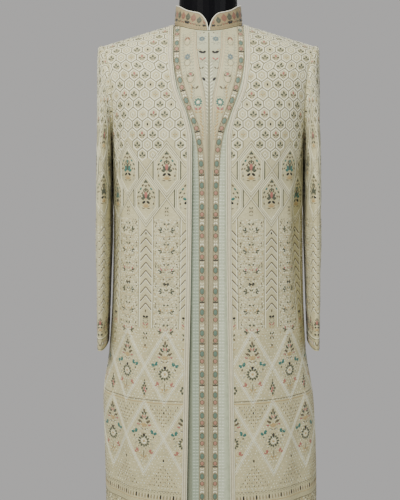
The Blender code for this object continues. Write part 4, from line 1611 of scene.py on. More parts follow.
def small_spade() -> Motif:
    """A diamond-shaped cluster of dark little leaves."""
    parts = []
    tones = (Thread.GREY_GREEN, Thread.SHADE, Thread.GREY_GREEN, Thread.PINK)
    for row, count in enumerate((1, 2, 3, 2, 1)):
        for step in range(count):
            parts.append(dot(5.0 * (step - (count - 1) / 2), 11.0 - 5.5 * row, 4.9,
                             tones[(row + step) % 4], 1.3))
    return (join(parts) + stitch(0, 13.0, 90, 7.0, 2.8, Thread.SHADE)
            + stitch(0, -13.0, 270, 6.0, 2.4, Thread.GOLD))


def flower_tree() -> Motif:
    """A tree of leaves over a ringed flower, from the flower's middle."""
    spire = (stitch(0, 60.0, 90, 11.0, 4.6, Thread.SHADE)
             + pair(1.0, 56.0, 60, 9.0, 4.2, Thread.GREY_GREEN)
             + pair(3.0, 46.0, 48, 11.5, 5.2, Thread.GREY_GREEN)
             + pair(1.2, 49.0, 66, 8.0, 3.4, Thread.PINK)
             + pair(4.0, 38.5, 34, 13.5, 5.4, Thread.SHADE)
             + pair(9.0, 34.5, 14, 8.0, 4.2, Thread.PINK)
             + join([stitch(0, 30.0, angle, 11.0, 3.2, Thread.GOLD)
                     for angle in (38, 64, 90, 116, 142)])
             + pair(0.8, 25.0, 18, 9.0, 2.4, Thread.SHADE)
             + pair(8.6, 24.0, 150, 6.0, 2.4, Thread.MINT))
    wings = (stitch(20.0, 16.0, 108, 11.0, 6.8, Thread.TEAL)
             + stitch(22.0, 15.0, 40, 9.4, 6.4, Thread.TEAL)
             + stitch(21.4, 13.0, -74, 6.4, 3.2, Thread.SHADE)).both()
    flower = (ring(6.6, 12, 7.4, 4.6, Thread.GREY_GREEN) + ring(2.8, 8, 4.4, 3.2, Thread.CREAM)
              + dot(0, 0, 5.0, Thread.GOLD) + dot(0, 13.4, 6.2, Thread.BLACK, 1.35)
              + ring(15.4, 12, 3.0, 1.6, Thread.SHADE, 75))
    foot = (pair(13.0, -25.0, 66, 10.0, 5.6, Thread.PINK)
            + pair(14.6, -25.0, 12, 8.6, 4.4, Thread.PINK)
            + curl(5.0, -30.0, -130, 16.0, 48, Thread.GOLD).both()
            + curl(6.0, -24.0, -40, 17.0, 40, Thread.GOLD).both()
            + stitch(0, -38.0, 90, 20.0, 1.9, Thread.SHADE)
            + pair(1.0, -36.0, 42, 9.0, 3.2, Thread.GOLD) + dot(0, -40.0, 3.0, Thread.GOLD))
    filling = (pair(26.0, 2.0, 70, 6.0, 2.6, Thread.SAND)
               + pair(20.0, -8.0, 110, 6.0, 2.6, Thread.STONE)
               + pair(17.0, 2.0, 40, 5.4, 2.4, Thread.STONE)
               + pair(12.0, 24.0, 60, 5.4, 2.6, Thread.SAND)
               + pair(14.0, 34.0, 120, 5.4, 2.4, Thread.STONE)
               + pair(8.0, -20.0, 60, 6.0, 2.6, Thread.SAND)
               + pair(4.0, -48.0, 60, 6.0, 2.4, Thread.STONE))
    return spire + wings + flower + foot + filling


def dash_triangle(rows: int, upwards: bool) -> Motif:
    """Rows of small dashes that narrow to a point, from the middle of their widest row."""
    parts = []
    way = 1 if upwards else -1
    for row in range(rows):
        count = rows - row
        for step in range(count):
            x = 9.6 * (step - (count - 1) / 2)
            dark = row == 2 and abs(x) < 5 and not upwards
            parts.append(stitch(x, way * 7.0 * row, 78, 6.0 if dark else 4.2,
                                3.0 if dark else 2.1, Thread.BLACK if dark else Thread.SHADE))
            parts.append(stitch(x + 4.8, way * 7.0 * row + 1.0, 90, 3.0, 1.6, Thread.GOLD))
    return join(parts)


def oval(thread: Thread, tall: float, wide: float) -> Motif:
    """An oval flower head with a dark outline, a light heart and a knot each side."""
    rim = [(0, tall / 2), (wide / 2, tall / 5), (wide / 2, -tall / 5), (0, -tall / 2)]
    return (dot(0, 0, wide * 0.84, thread, tall / wide)
            + dot(0, -tall * 0.05, wide * 0.34, Thread.CREAM, 1.3)
            + line(rim, 1.2, Thread.SHADE).both()
            + dot(wide * 0.62, -tall * 0.50, 2.0, Thread.SHADE).both())


def cross_knot() -> Motif:
    """Four pale leaves crossed on a knot."""
    return (pair(0.3, 0.6, 52, 6.0, 2.4, Thread.CREAM)
            + pair(0.3, -0.6, -52, 6.0, 2.4, Thread.PALE) + dot(0, 0, 2.4, Thread.SHADE)
            + dot(4.4, 0, 2.2, Thread.STONE).both())


def upright_sprig(heart: Thread, dark: bool) -> Motif:
    """The collar's paisley-like sprig, with or without a dark pair under it."""
    foot = (pair(0.2, -9.2, 48, 6.2, 4.8, Thread.BLACK) if dark
            else pair(1.4, -8.6, 24, 3.8, 2.8, heart) + dot(0, -7.4, 2.2, Thread.SHADE))
    return (stitch(0, -4.8, 90, 14.0, 6.6, heart) + pair(1.4, -3.4, 70, 9.0, 3.4, heart)
            + stitch(0, -2.0, 90, 7.0, 2.4, Thread.SAND) + foot
            + dot(5.8, -6.0, 2.0, Thread.SHADE))


# Charts: where the motifs lie on each piece, in millimetres of its UV map


PERIOD = 89.0
VINE_START = 51.0
CHEVRON_START = 6.5
FRAME_RISE = 57.0
FAINT = (Thread.PALE, Thread.MINT, Thread.CREAM, Thread.CREAM, Thread.SAND, Thread.STONE)
DENSE = (Thread.PALE, Thread.PALE, Thread.MINT, Thread.SAND, Thread.STONE, Thread.LINE)


def columns_from(start: float, low: float, high: float) -> list[float]:
    """Middles of the columns between two places, a period apart."""
    first = math.ceil((low - start) / PERIOD)
    last = math.floor((high - start) / PERIOD)
    return [start + PERIOD * step for step in range(first, last + 1)]


@dataclass(frozen=True)
class Lattice:
    """Honeycomb cells over the chest, shoulders and sleeve caps."""
    pitch: float = 22.8
    row_step: float = 20.3
    half_upright: float = 6.0
    inset: float = 0.80

    def cell(self) -> Motif:
        """A cell's dark lines, painted shade on the ground between the raised outlines, and its
        light outline inside them.
        """
        half = self.pitch / 2
        tip = self.row_step - self.half_upright
        corners = [(0, tip), (half, self.half_upright), (half, -self.half_upright), (0, -tip)]
        light = [(x * self.inset, y * self.inset) for x, y in corners]
        return (line(corners[1:3], 1.5, Thread.LINE, 20)
                + line(corners[:2], 1.5, Thread.LINE, 20).both()
                + line(light, 2.0, Thread.PALE, 20).both())

    def filling(self, row: int, column: int) -> Motif:
        """What a cell holds: dark sprigs, pink ones, pale diamonds and single dark knots."""
        green = sprig(Thread.GREY_GREEN, Thread.GREY_GREEN, Thread.SHADE)
        if row % 2 == 0:
            place = (column + row) % 4
            return (dot(0, 0, 3.6, Thread.BLACK, 1.7), green, lozenge(), green)[place]
        pink = sprig(Thread.PINK, Thread.SHADE, Thread.SHADE)
        return (green, pink, seed_sprig(), lozenge())[(column + (row - 1) // 2) % 4]

    def chart(self, low: float, high: float, bottom: Callable[[float], float],
              start: float, top: float) -> Motif:
        """Cells whose middles lie above a bottom line.

        Args:
            low: lowest place across.
            high: highest place across.
            bottom: the bottom line's height at a place across.
            start: height of the first row.
            top: height of the last row.

        Returns:
            The cells and what they hold.
        """
        parts = []
        for row in range(int((top - start) / self.row_step) + 1):
            y = start + row * self.row_step
            for column in range(int(low / self.pitch) - 1, int(high / self.pitch) + 2):
                x = (column + 0.5 * (row % 2)) * self.pitch
                if low <= x <= high and y > bottom(x) + 6.0:
                    parts.append((self.cell() + self.filling(row, column)).moved(x, y))
        return join(parts)


@dataclass(frozen=True)
class PanelChart:
    """The design of the coat's fronts and backs, from the lattice down to the hem."""
    frame_level: float = 1179.0
    chevron_top: float = 1058.0
    chevron_step: float = 17.0
    chevrons: int = 10
    vine_step: float = 42.0
    vine_half: float = 28.0
    tree_level: float = 757.0
    line_level: float = 695.0
    low_tree_level: float = 611.0
    border_level: float = 492.0
    hem_band_top: float = 470.0
    hem: float = 421.0
    under_band: tuple[float, float] = (3.0, 9.0)
    band_shift: float = 4.0

    def frame(self) -> Motif:
        """A long hexagon with a light double outline and dark upright sides."""
        tip, shoulder, side = 50.0, 19.0, 26.0
        path = [(0, tip), (side, shoulder), (side, -shoulder), (0, -tip)]
        small = [(0, tip - 6), (side - 3.6, shoulder - 1.4), (side - 3.6, -shoulder + 1.4),
                 (0, -tip + 6)]
        return (line(path, 2.0, Thread.CREAM).both() + line(small, 1.3, Thread.PALE).both()
                + line([(x - 1.6, y) for x, y in path], 0.8, Thread.STONE).both()
                + line([(side + 2.4, shoulder), (side + 2.4, -shoulder)], 2.2,
                       Thread.GREY_GREEN).both() + palm_leaves())

    def slant(self) -> Motif:
        """A light band with dark sides, down from a diamond's tip to both of its sides."""
        out = PERIOD / 2
        path = [(0, FRAME_RISE), (out, 0)]
        sides = [[(x, y + shift) for x, y in path] for shift in (-2.6, 2.6)]
        return (line(path, 2.8, Thread.CREAM) + line(sides[0], 1.2, Thread.LINE)
                + line(sides[1], 1.2, Thread.LINE)).both()

    def frames(self, low: float, high: float) -> Motif:
        """Two staggered rows of frames with their medallions."""
        warm = medallion(Thread.PINK, Thread.GREY_GREEN)
        cool = medallion(Thread.GREY_GREEN, Thread.TEAL)
        upper, lower = self.frame_level, self.frame_level - FRAME_RISE
        vines = columns_from(VINE_START, low, high)
        steps = columns_from(CHEVRON_START, low, high)
        parts = [(self.frame() + hearts[index % 2].moved(0, 3)).moved(x, level)
                 for middles, level, hearts in ((vines, upper, (warm, cool)),
                                                (steps, lower, (cool, warm)))
                 for index, x in enumerate(middles)]
        parts += [self.slant().moved(x, level)
                  for middles, level in ((vines, upper), (steps, lower),
                                         (vines, lower - FRAME_RISE))
                  for x in middles]
        return join(parts)

    def zigzag(self, x: float) -> float:
        """Height of the frames' upper edge."""
        away = abs((x - VINE_START + PERIOD / 2) % PERIOD - PERIOD / 2)
        return self.frame_level + FRAME_RISE * (1 - away / (PERIOD / 2))

    def filler(self, low: float, high: float, bottom: float, top: float, step: float,
               seed: int, tones: Sequence[Thread] = FAINT) -> Motif:
        """Faint leaves turned every way."""
        dice = np.random.default_rng(seed)
        across, along = np.arange(low, high, step), np.arange(bottom, top, step * 0.87)
        x, y = np.meshgrid(across, along)
        x = x + (np.arange(len(along)) % 2)[:, None] * step / 2
        count = x.size
        rows = np.zeros((count, 9))
        rows[:, X] = x.ravel() + dice.uniform(-0.8, 0.8, count)
        rows[:, Y] = y.ravel() + dice.uniform(-0.8, 0.8, count)
        rows[:, TURN] = dice.uniform(0, math.pi, count)
        rows[:, LENGTH] = dice.uniform(3.2, 5.0, count)
        rows[:, WIDTH] = dice.uniform(1.4, 2.1, count)
        shades = np.array([tone.value for tone in tones])
        rows[:, THREAD:] = shades[dice.integers(0, len(shades), count)]
        return Motif(rows)

    def clear(self, low: float, middles: Sequence[float]) -> list[float]:
        """Middles of columns, with the one under the edge band moved clear of it."""
        nearest, furthest = self.under_band
        return [x + self.band_shift if nearest < x - low < furthest else x for x in middles]

    def stripes(self, low: float, high: float) -> Motif:
        """Vine panels between columns of chevrons."""
        vines = columns_from(VINE_START, low, high)
        steps = columns_from(CHEVRON_START, low, high)
        foot = self.chevron_top - self.chevrons * self.chevron_step
        ladder = join([chevron().moved(0, self.chevron_top - index * self.chevron_step)
                       for index in range(self.chevrons)])
        ladder += dot(0, self.chevron_top - 8.0, 3.0, Thread.BLACK, 2.0)
        top = self.frame_level - FRAME_RISE
        vine = (four_leaf().scaled(0.8).moved(0, top - 23)
                + pair(0.8, top - 35, 40, 4.0, 2.0, Thread.SHADE))
        for index in range(6):
            level = self.chevron_top + 13 - index * self.vine_step
            edge = (Thread.GREY_GREEN, Thread.GOLD, Thread.PINK)[index % 3]
            vine += fans(Thread.GREY_GREEN, edge).scaled(1.1).moved(0, level)
            vine += pair(9.0, level - 30, 150, 5.6, 2.8, Thread.STONE)
            vine += pair(4.0, level - 33, 40, 5.0, 2.6, Thread.SHADE)
        vine += heart_pair().moved(0, self.chevron_top + 13 - 3 * self.vine_step + 1)
        bottom = self.chevron_top - 205
        side = line([(self.vine_half, top - 36), (self.vine_half, bottom)], 1.0, Thread.LINE)
        side += line([(self.vine_half + 2.2, top - 38), (self.vine_half + 2.2, bottom)], 1.8,
                     Thread.PALE)
        vine += side.both()
        ladder += column_foot().moved(0, foot + 4)
        parts = [ladder.at([(x, 0) for x in self.clear(low, steps)]),
                 vine.at([(x, 0) for x in vines])]
        for index, x in enumerate(vines):
            parts.append(self.filler(x - 25, x + 25, bottom, top - 40, 5.4, 11 + index, DENSE))
        return join(parts)

    def diamonds(self, low: float, high: float, start: float, level: float, rise: float) -> Motif:
        """Faint pale bands that cross between trees."""
        out = PERIOD / 2
        path = [(0, rise), (out, 0), (0, -rise)]
        band = join([line([(x, y + shift) for x, y in path], width, thread).both()
                     for shift, width, thread in ((-6.0, 1.7, Thread.CREAM),
                                                  (0.0, 2.0, Thread.MINT),
                                                  (6.0, 1.7, Thread.CREAM))])
        return band.at([(x, level) for x in columns_from(start, low, high)])

    def trees(self, low: float, high: float) -> Motif:
        """Both rows of flower trees, with what stands between them."""
        vines = columns_from(VINE_START, low, high)
        steps = columns_from(CHEVRON_START, low, high)
        parts = [flower_tree().at([(x, self.tree_level) for x in vines]),
                 small_spade().at([(x, self.tree_level - 33)
                                   for x in self.clear(low, steps)]),
                 flower_tree().at([(x, self.low_tree_level) for x in steps]),
                 dash_triangle(7, False).at([(x, self.line_level - 9) for x in vines]),
                 dash_triangle(7, True).at([(x, self.border_level + 24) for x in vines]),
                 stitch(0, 0, 90, 8.0, 3.2, Thread.BLACK).at([(x, self.border_level + 76)
                                                             for x in vines]),
                 self.diamonds(low, high, VINE_START, self.tree_level + 14, 76),
                 self.diamonds(low, high, CHEVRON_START, self.low_tree_level + 8, 78),
                 self.filler(low, high, self.line_level + 4, self.chevron_top - 206, 6.6, 31),
                 self.filler(low, high, self.border_level + 14, self.line_level - 4, 7.2, 37)]
        for shift, thread in ((0.0, Thread.GOLD), (5.4, Thread.SHADE)):
            parts.append(line([(low, self.line_level + shift), (high, self.line_level + shift)],
                              1.7, thread))
        return join(parts)

    def border(self, low: float, high: float) -> Motif:
        """The row of upright leaves, the plain band and the dense band at the hem."""
        parts = []
        level = self.border_level
        for index, x in enumerate(np.arange(low, high, 7.0)):
            dark = index % 4 == 0
            parts.append(stitch(x, level - 5, 90, 12.0 if dark else 11.0, 3.4 if dark else 1.6,
                                Thread.BLACK if dark else Thread.SHADE))
            parts.append(stitch(x + 2.0, level - 5, 78, 10.0, 1.6, Thread.GOLD))
            parts.append(stitch(x + 4.5, level - 5, 96, 10.0, 2.2, Thread.CREAM))
            parts.append(dot(x, level + 10.0, 2.0, Thread.GREY_GREEN))
            parts.append(dot(x + 3.5, level + 12.5, 1.6, Thread.SHADE))
        for y, width, thread in ((level - 8, 1.2, Thread.GOLD), (level + 14, 0.8, Thread.SHADE),
                                 (level - 20, 1.3, Thread.SHADE),
                                 (self.hem + 3, 1.4, Thread.GOLD)):
            parts.append(line([(low, y), (high, y)], width, thread))
        dice = np.random.default_rng(5)
        for row, y in enumerate(np.arange(self.hem + 8, self.hem_band_top, 5.6)):
            for x in np.arange(low + 3.5 * (row % 2), high, 7.0):
                thread = (Thread.GREY_GREEN, Thread.SHADE, Thread.PALE, Thread.GOLD,
                          Thread.BLACK)[int(dice.integers(0, 5))]
                parts.append(stitch(x, y - 1.6, float(dice.uniform(40, 140)), 4.6, 2.2, thread))
        return join(parts)

    def chart(self, low: float, high: float, top: float) -> Motif:
        """The whole panel between two places across."""
        return join([Lattice().chart(low, high, self.zigzag, 1190.0, top),
                     self.frames(low, high), self.stripes(low, high), self.trees(low, high),
                     self.border(low, high)]).short(9.5)


@dataclass(frozen=True)
class SleeveChart:
    """The sleeve's design, centred on its front seam."""
    cuff: float = 798.0
    upper: float = 1245.0
    lower: float = 1131.0
    ladder_top: float = 1062.0
    ladder_rungs: int = 11
    vine_top: float = 1075.0
    lattice_start: float = 1262.0

    def cuff_band(self, low: float, high: float) -> Motif:
        """Lines and slanted leaves at the cuff, with motifs above them."""
        parts = [line([(low, self.cuff + y), (high, self.cuff + y)], width, thread)
                 for y, width, thread in ((3, 1.6, Thread.GREY_GREEN), (6, 1.2, Thread.GOLD),
                                          (24, 1.2, Thread.GREY_GREEN), (27, 1.8, Thread.PALE))]
        for index, x in enumerate(np.arange(low, high, 8.0)):
            thread = (Thread.SHADE, Thread.GREY_GREEN, Thread.PINK)[index % 3]
            parts.append(stitch(x, self.cuff + 9, 62, 13, 3.6, thread))
            parts.append(stitch(x + 4, self.cuff + 10, 62, 10, 2.6, Thread.PALE))
        for x in np.arange(-180, 181, 30):
            parts.append(pair(0.4, 0, 24, 7.6, 4.8, Thread.BLACK).moved(x, self.cuff + 33))
            parts.append(medallion(Thread.PINK, Thread.GREY_GREEN).scaled(0.7)
                         .moved(x, self.cuff + 58))
            parts.append(small_spade().scaled(0.7).moved(x + 15, self.cuff + 48))
        return join(parts)

    def chart(self, low: float, high: float, top: float, start: float) -> Motif:
        """The whole sleeve half between two places across, its middles from a start."""
        panel = PanelChart()
        middles = columns_from(start, low - PERIOD, high + PERIOD)
        between = [x + PERIOD / 2 for x in middles]
        frame = panel.frame()
        slant = panel.slant()
        warm = medallion(Thread.PINK, Thread.GREY_GREEN)
        cool = medallion(Thread.GREY_GREEN, Thread.GREY_GREEN)
        upper, lower = self.upper, self.lower
        ladder = join([chevron().moved(0, self.ladder_top - panel.chevron_step * step)
                       for step in range(self.ladder_rungs)])
        vine = join([fans(Thread.GREY_GREEN, Thread.GOLD)
                     .moved(0, self.vine_top - panel.vine_step * step) for step in range(5)])
        parts = [motif.at([(x, level) for x in places]) for motif, level, places in (
            (frame + warm.moved(0, 3), upper, middles),
            (frame + cool.moved(0, 3), lower, middles),
            (frame + cool.moved(0, 3), upper - FRAME_RISE, between),
            (slant, upper, middles), (slant, upper - FRAME_RISE, between),
            (slant, lower, middles), (slant, lower - FRAME_RISE, between),
            (ladder, 0, middles), (vine, 0, between))]
        parts.append(self.cuff_band(low, high))

        def bottom(x: float) -> float:
            """The frames' upper edge, with its tips on the middles."""
            away = abs((x - start + PERIOD / 2) % PERIOD - PERIOD / 2)
            return upper + FRAME_RISE * (1 - away / (PERIOD / 2))

        parts.append(Lattice().chart(low, high, bottom, self.lattice_start, top))
        parts.append(panel.filler(low, high, self.cuff + 80, 1070, 6.4, 53))
        return join(parts).short(4.0)


@dataclass(frozen=True)
class RibbonChart:
    """The ribbon's ovals between dark bars, measured up from the floor."""
    bar_start: float = 1170.0
    bar_step: float = 87.0

    def unit(self) -> Motif:
        """One stretch from a bar downwards."""
        half = (cross_knot().moved(0, -8) + oval(Thread.JADE, 14.0, 8.6).moved(0, -21)
                + oval(Thread.ROSE, 10.5, 8.0).moved(0, -36.5))
        bar = line([(-5.6, 0), (5.4, 0)], 2.4, Thread.BLACK, 20)
        return bar + half + half.moved(0, -43.5)

    def chart(self, bottom: float, top: float) -> Motif:
        """The whole ribbon."""
        first = math.floor((bottom - self.bar_start) / self.bar_step)
        last = math.ceil((top - self.bar_start) / self.bar_step)
        units = self.unit().at([(0, self.bar_start + self.bar_step * step)
                                for step in range(first, last + 2)])
        edges = (line([(5.8, bottom), (5.8, top)], 1.0, Thread.SAND, 8.0)
                 + line([(4.9, bottom), (4.9, top)], 0.6, Thread.LINE, 8.0)).both()
        return units + edges


def band_chart(bottom: float, top: float) -> Motif:
    """Fine cords and their shadow lines along the coat's edge band."""
    return join([line([(x, bottom), (x, top)], width, thread, 9.0)
                 for x, width, thread in ((-4.0, 1.2, Thread.PALE), (-2.8, 0.8, Thread.LINE),
                                          (-1.6, 1.2, Thread.CREAM), (2.6, 0.7, Thread.LINE),
                                          (3.9, 1.2, Thread.PALE))])


def satin_chart(bottom: float, top: float, rung: Thread) -> Motif:
    """Tone-on-tone bars across the satin strip, like the rungs of a ladder."""
    parts = []
    for y in np.arange(bottom, top, 7.0):
        parts += [stitch(20.5, y, 2, 6.4, 2.4, rung), stitch(27.0, y, -2, 6.4, 2.4, rung),
                  dot(23.5, y + 3.5, 1.3, rung), dot(30.0, y + 3.5, 1.3, rung)]
    return join(parts)


def yoke_chart() -> Motif:
    """Outlined sprigs down the yoke from the collar, closer together towards its point."""
    peak = (pair(0.4, 10, -58, 12.0, 4.6, Thread.CHESTNUT) + dot(0, 0, 7.0, Thread.SAND, 1.3)
            + loop(0, -3, 14, 19, 1.1, Thread.LINE) + loop(0, -1, 19, 28, 1.0, Thread.SAND))
    paisley = (ring(1.2, 8, 6.4, 3.8, Thread.BLUE) + dot(0, 0, 3.0, Thread.STONE, 1.3)
               + pair(5.0, -9.0, -40, 7.0, 3.4, Thread.STONE)
               + loop(0, -13, 13, 14, 1.1, Thread.LINE) + loop(0, -4, 20, 34, 1.0, Thread.SAND))
    arch = (stitch(0, 2, 90, 9.0, 6.0, Thread.PINK) + pair(1.6, 2.0, 30, 8.0, 3.8, Thread.SHADE)
            + dot(0, -4, 8.0, Thread.SAND, 1.2) + loop(0, 0, 16, 21, 1.2, Thread.LINE)
            + loop(0, 1, 22, 29, 1.0, Thread.SAND))
    floret = (ring(3.4, 9, 5.4, 3.8, Thread.TEAL) + dot(0, 0, 5.0, Thread.PALE)
              + loop(0, 0, 21, 23, 1.0, Thread.STONE)
              + pair(0.6, -16.0, 44, 9.0, 4.0, Thread.PINK)
              + pair(0.6, -22.0, 40, 9.0, 3.2, Thread.GOLD))
    fern = join([stitch(0, -6.0 * step, 52, 7.5, 2.4, Thread.GOLD)
                 + stitch(0, -6.0 * step, 128, 7.5, 2.4, Thread.STONE) for step in range(5)])
    vein = join([stitch(0, -7.0 * step, 90 - 62 * way, 6.4, 2.4, Thread.STONE)
                 for step in range(16) for way in (-1, 1)])
    return (peak.moved(46, 1455) + paisley.moved(45, 1414) + arch.moved(38.0, 1368)
            + vein.moved(56.0, 1472) + vein.moved(36.0, 1476)
            + pair(0.4, 0, 40, 9.0, 4.0, Thread.SHADE).moved(28, 1343)
            + floret.moved(22.0, 1316) + fern.moved(33.0, 1348) + fern.moved(14.0, 1292)
            + fern.moved(10.5, 1264)
            + line([(33.2, 1478), (32.2, 1432), (27.6, 1400), (21.6, 1364), (14.6, 1335),
                    (10.0, 1304), (9.0, 1275)], 2.2, Thread.SAND)
            + line([(57.0, 1478), (56.0, 1432), (51.0, 1400), (44.0, 1364), (36.0, 1335),
                    (29.0, 1304), (23.0, 1275)], 1.1, Thread.STONE))


def bib_chart() -> Motif:
    """Sprigs down the bib, ferns beside the closing, and the plain strip's lines below."""
    flower = (ring(1.2, 8, 6.2, 3.6, Thread.BLUE) + dot(0, 0, 2.8, Thread.STONE)
              + pair(3.0, -9.0, -16, 7.0, 2.8, Thread.STONE)
              + pair(0.6, -10.0, -50, 7.0, 2.6, Thread.STONE)
              + dot(8.0, 6.0, 2.4, Thread.BLUE).both())
    smile = (stitch(-6.6, 2.6, -36, 9.0, 5.4, Thread.BLACK)
             + stitch(-0.8, -2.0, 32, 10.4, 5.6, Thread.BLACK))
    knot = (pair(0.6, 0.8, 40, 8.0, 3.2, Thread.PINK)
            + pair(0.6, -0.8, -40, 8.0, 3.2, Thread.STONE) + dot(0, 0, 3.0, Thread.SHADE))
    fern = join([stitch(1.8, 1396 - 7.0 * step, 46, 9.6, 2.8, Thread.STONE)
                 + stitch(2.4, 1392.5 - 7.0 * step, 46, 7.4, 2.0, Thread.PALE)
                 for step in range(21)])
    side = [(27.4, 1478), (26.6, 1432), (22.8, 1400), (16.8, 1364), (10.6, 1335), (6.0, 1300),
            (5.1, 1270), (5.1, 432)]
    # A dark strand down the closing: painted shade of the slit between the two bibs
    closing = [(0.9, 1484), (0.9, 432)]
    return (dot(17.6, 1472, 2.6, Thread.PINK) + dot(10.0, 1473, 3.0, Thread.SHADE, 1.3)
            + flower.moved(14.0, 1455) + smile.moved(12.6, 1421)
            + knot.moved(13.0, 1403) + seed_sprig().moved(21.0, 1428)
            + stitch(6.6, 1358, 48, 11.0, 5.2, Thread.BLACK)
            + pair(0.4, 0, 40, 6.4, 2.8, Thread.SHADE).moved(15.6, 1384)
            + fern + line(side, 2.2, Thread.SAND)
            + line([(x - 1.6, y) for x, y in side], 0.9, Thread.LINE)
            + line(closing, 1.1, Thread.LINE))


COLLAR_PITCH = 13.6
COLLAR_START = 17.5


def collar_chart(length: float) -> Motif:
    """A row of sprigs round the collar, from each front end to the back."""
    parts = []
    count = int((length / 2 - 18) / COLLAR_PITCH)
    for index in range(count + 1):
        out = COLLAR_START + COLLAR_PITCH * index
        heart = (Thread.CHESTNUT, Thread.GREY_GREEN)[index % 2]
        motif = upright_sprig(heart, index % 3 == 0)
        height, size = ((15.5, 0.90), (17.0, 1.08))[index] if index < 2 else (19.5, 1.24)
        parts.append(motif.scaled(size).moved(out, height))
        parts.append(motif.scaled(size).mirrored().moved(length - out, height))
    seat = join([dot(x, 3.2, 1.2, Thread.SHADE) for x in np.arange(6, length - 6, 4.0)])
    return join(parts) + seat


class StitchTree:
    """Geometry Nodes that sew a chart's stitches on a face of cloth."""

    OUTLINES = {
        Shape.LEAF: [(-0.5, 0), (-0.22, -0.5), (0.24, -0.46), (0.5, 0), (0.24, 0.46),
                     (-0.22, 0.5)],
        Shape.DOT: [(-0.5, 0), (-0.27, -0.46), (0.27, -0.46), (0.5, 0), (0.27, 0.46),
                    (-0.27, 0.46)],
    }
    LIFT = 0.00014
    BAND_MARGIN = 0.0012

    def __init__(self) -> None:
        """Make the stitch shapes and the tree."""
        self.shapes = [self.raised(shape) for shape in self.OUTLINES] + [self.strand()]
        self.tree = new_tree("stitches_on_cloth", {
            "Chart": "Geometry", "Cloth": "Object", "Leaf": "Object", "Dot": "Object",
            "Strand": "Object", "Material": "Material"})
        self.wire()

    def keep(self, name: str, points: list, faces: list) -> bpy.types.Object:
        """A stitch shape that the tree copies; it isn't linked to the scene."""
        mesh = bpy.data.meshes.new(name)
        mesh.from_pydata(points, [], faces)
        return bpy.data.objects.new(name, mesh)

    def raised(self, shape: Shape) -> bpy.types.Object:
        """A flat outline whose middle is raised."""
        points = [(x, y, 0.0) for x, y in self.OUTLINES[shape]] + [(0.0, 0.0, 1.0)]
        faces = [(index, (index + 1) % 6, 6) for index in range(6)]
        return self.keep(f"stitch_{shape.name.lower()}", points, faces)

    def strand(self) -> bpy.types.Object:
        """A ridge of thread."""
        points = [(x, y, 1.0 if y == 0 else 0.0) for x in (-0.5, 0.5) for y in (-0.5, 0, 0.5)]
        return self.keep("stitch_strand", points, [(0, 3, 4, 1), (1, 4, 5, 2)])

    def wire(self) -> None:
        """Wire the tree: place, turn and size the shapes, then lay them on the cloth."""
        graph = Graph(self.tree)
        inputs = graph.node("NodeGroupInput").outputs

        def attribute(name: str, kind: str) -> bpy.types.NodeSocket:
            """An attribute of the chart's points."""
            return graph.node("GeometryNodeInputNamedAttribute", {"data_type": kind},
                              {"Name": name}).outputs["Attribute"]

        turn = graph.node("ShaderNodeCombineXYZ", sockets={"Z": attribute("turn", "FLOAT")})
        rotation = graph.node("FunctionNodeEulerToRotation", sockets={0: turn.outputs[0]})
        joined = graph.node("GeometryNodeJoinGeometry")
        for shape in Shape:
            pick = graph.node("FunctionNodeCompare", {"data_type": "INT", "operation": "EQUAL"},
                              {"A": attribute("shape", "INT"), "B": int(shape)})
            source = graph.node("GeometryNodeObjectInfo",
                                sockets={"Object": inputs[shape.name.title()]})
            copies = graph.node("GeometryNodeInstanceOnPoints",
                                sockets={"Points": inputs["Chart"],
                                         "Selection": pick.outputs["Result"],
                                         "Instance": source.outputs["Geometry"],
                                         "Rotation": rotation.outputs[0],
                                         "Scale": attribute("size", "FLOAT_VECTOR")})
            self.tree.links.new(copies.outputs[0], joined.inputs[0])
        flat = graph.node("GeometryNodeRealizeInstances", sockets={0: joined.outputs[0]})
        place = graph.node("GeometryNodeInputPosition").outputs[0]
        normal = graph.node("GeometryNodeInputNormal").outputs[0]
        cloth = graph.node("GeometryNodeObjectInfo",
                           sockets={"Object": inputs["Cloth"]}).outputs["Geometry"]
        seams = attribute(CLOTH_UV, "FLOAT_VECTOR")

        def sample(value: bpy.types.NodeSocket) -> bpy.types.Node:
            """A value of the cloth at a stitch's place on the chart."""
            return graph.node("GeometryNodeSampleUVSurface", {"data_type": "FLOAT_VECTOR"},
                              {"Mesh": cloth, "Value": value, "UV Map": seams,
                               "Sample UV": place})

        spot, outwards = sample(place), sample(normal)
        split = graph.node("ShaderNodeSeparateXYZ", sockets={0: place})
        height = graph.value(split, "Z") + self.LIFT
        lift = graph.node("ShaderNodeVectorMath", {"operation": "SCALE"},
                          {0: outwards.outputs["Value"], "Scale": height})
        final = graph.node("ShaderNodeVectorMath", {"operation": "ADD"},
                           {0: spot.outputs["Value"], 1: lift.outputs[0]})
        stored = graph.node("GeometryNodeStoreNamedAttribute",
                            {"data_type": "BOOLEAN", "domain": "POINT"},
                            {"Geometry": flat.outputs[0], "Name": "on_cloth",
                             "Value": spot.outputs["Is Valid"]})
        laid = graph.node("GeometryNodeSetPosition", sockets={"Geometry": stored.outputs[0],
                                                              "Position": final.outputs[0]})
        off = graph.node("FunctionNodeBooleanMath", {"operation": "NOT"},
                         {0: attribute("on_cloth", "BOOLEAN")})
        kept = graph.node("GeometryNodeDeleteGeometry", {"domain": "POINT"},
                          {"Geometry": laid.outputs[0], "Selection": off.outputs[0]})
        real = graph.node("GeometryNodeRealizeInstances", sockets={0: kept.outputs[0]})
        dressed = graph.node("GeometryNodeSetMaterial",
                             sockets={0: real.outputs[0], "Material": inputs["Material"]})
        graph.node("NodeGroupOutput", sockets={0: dressed.outputs[0]})

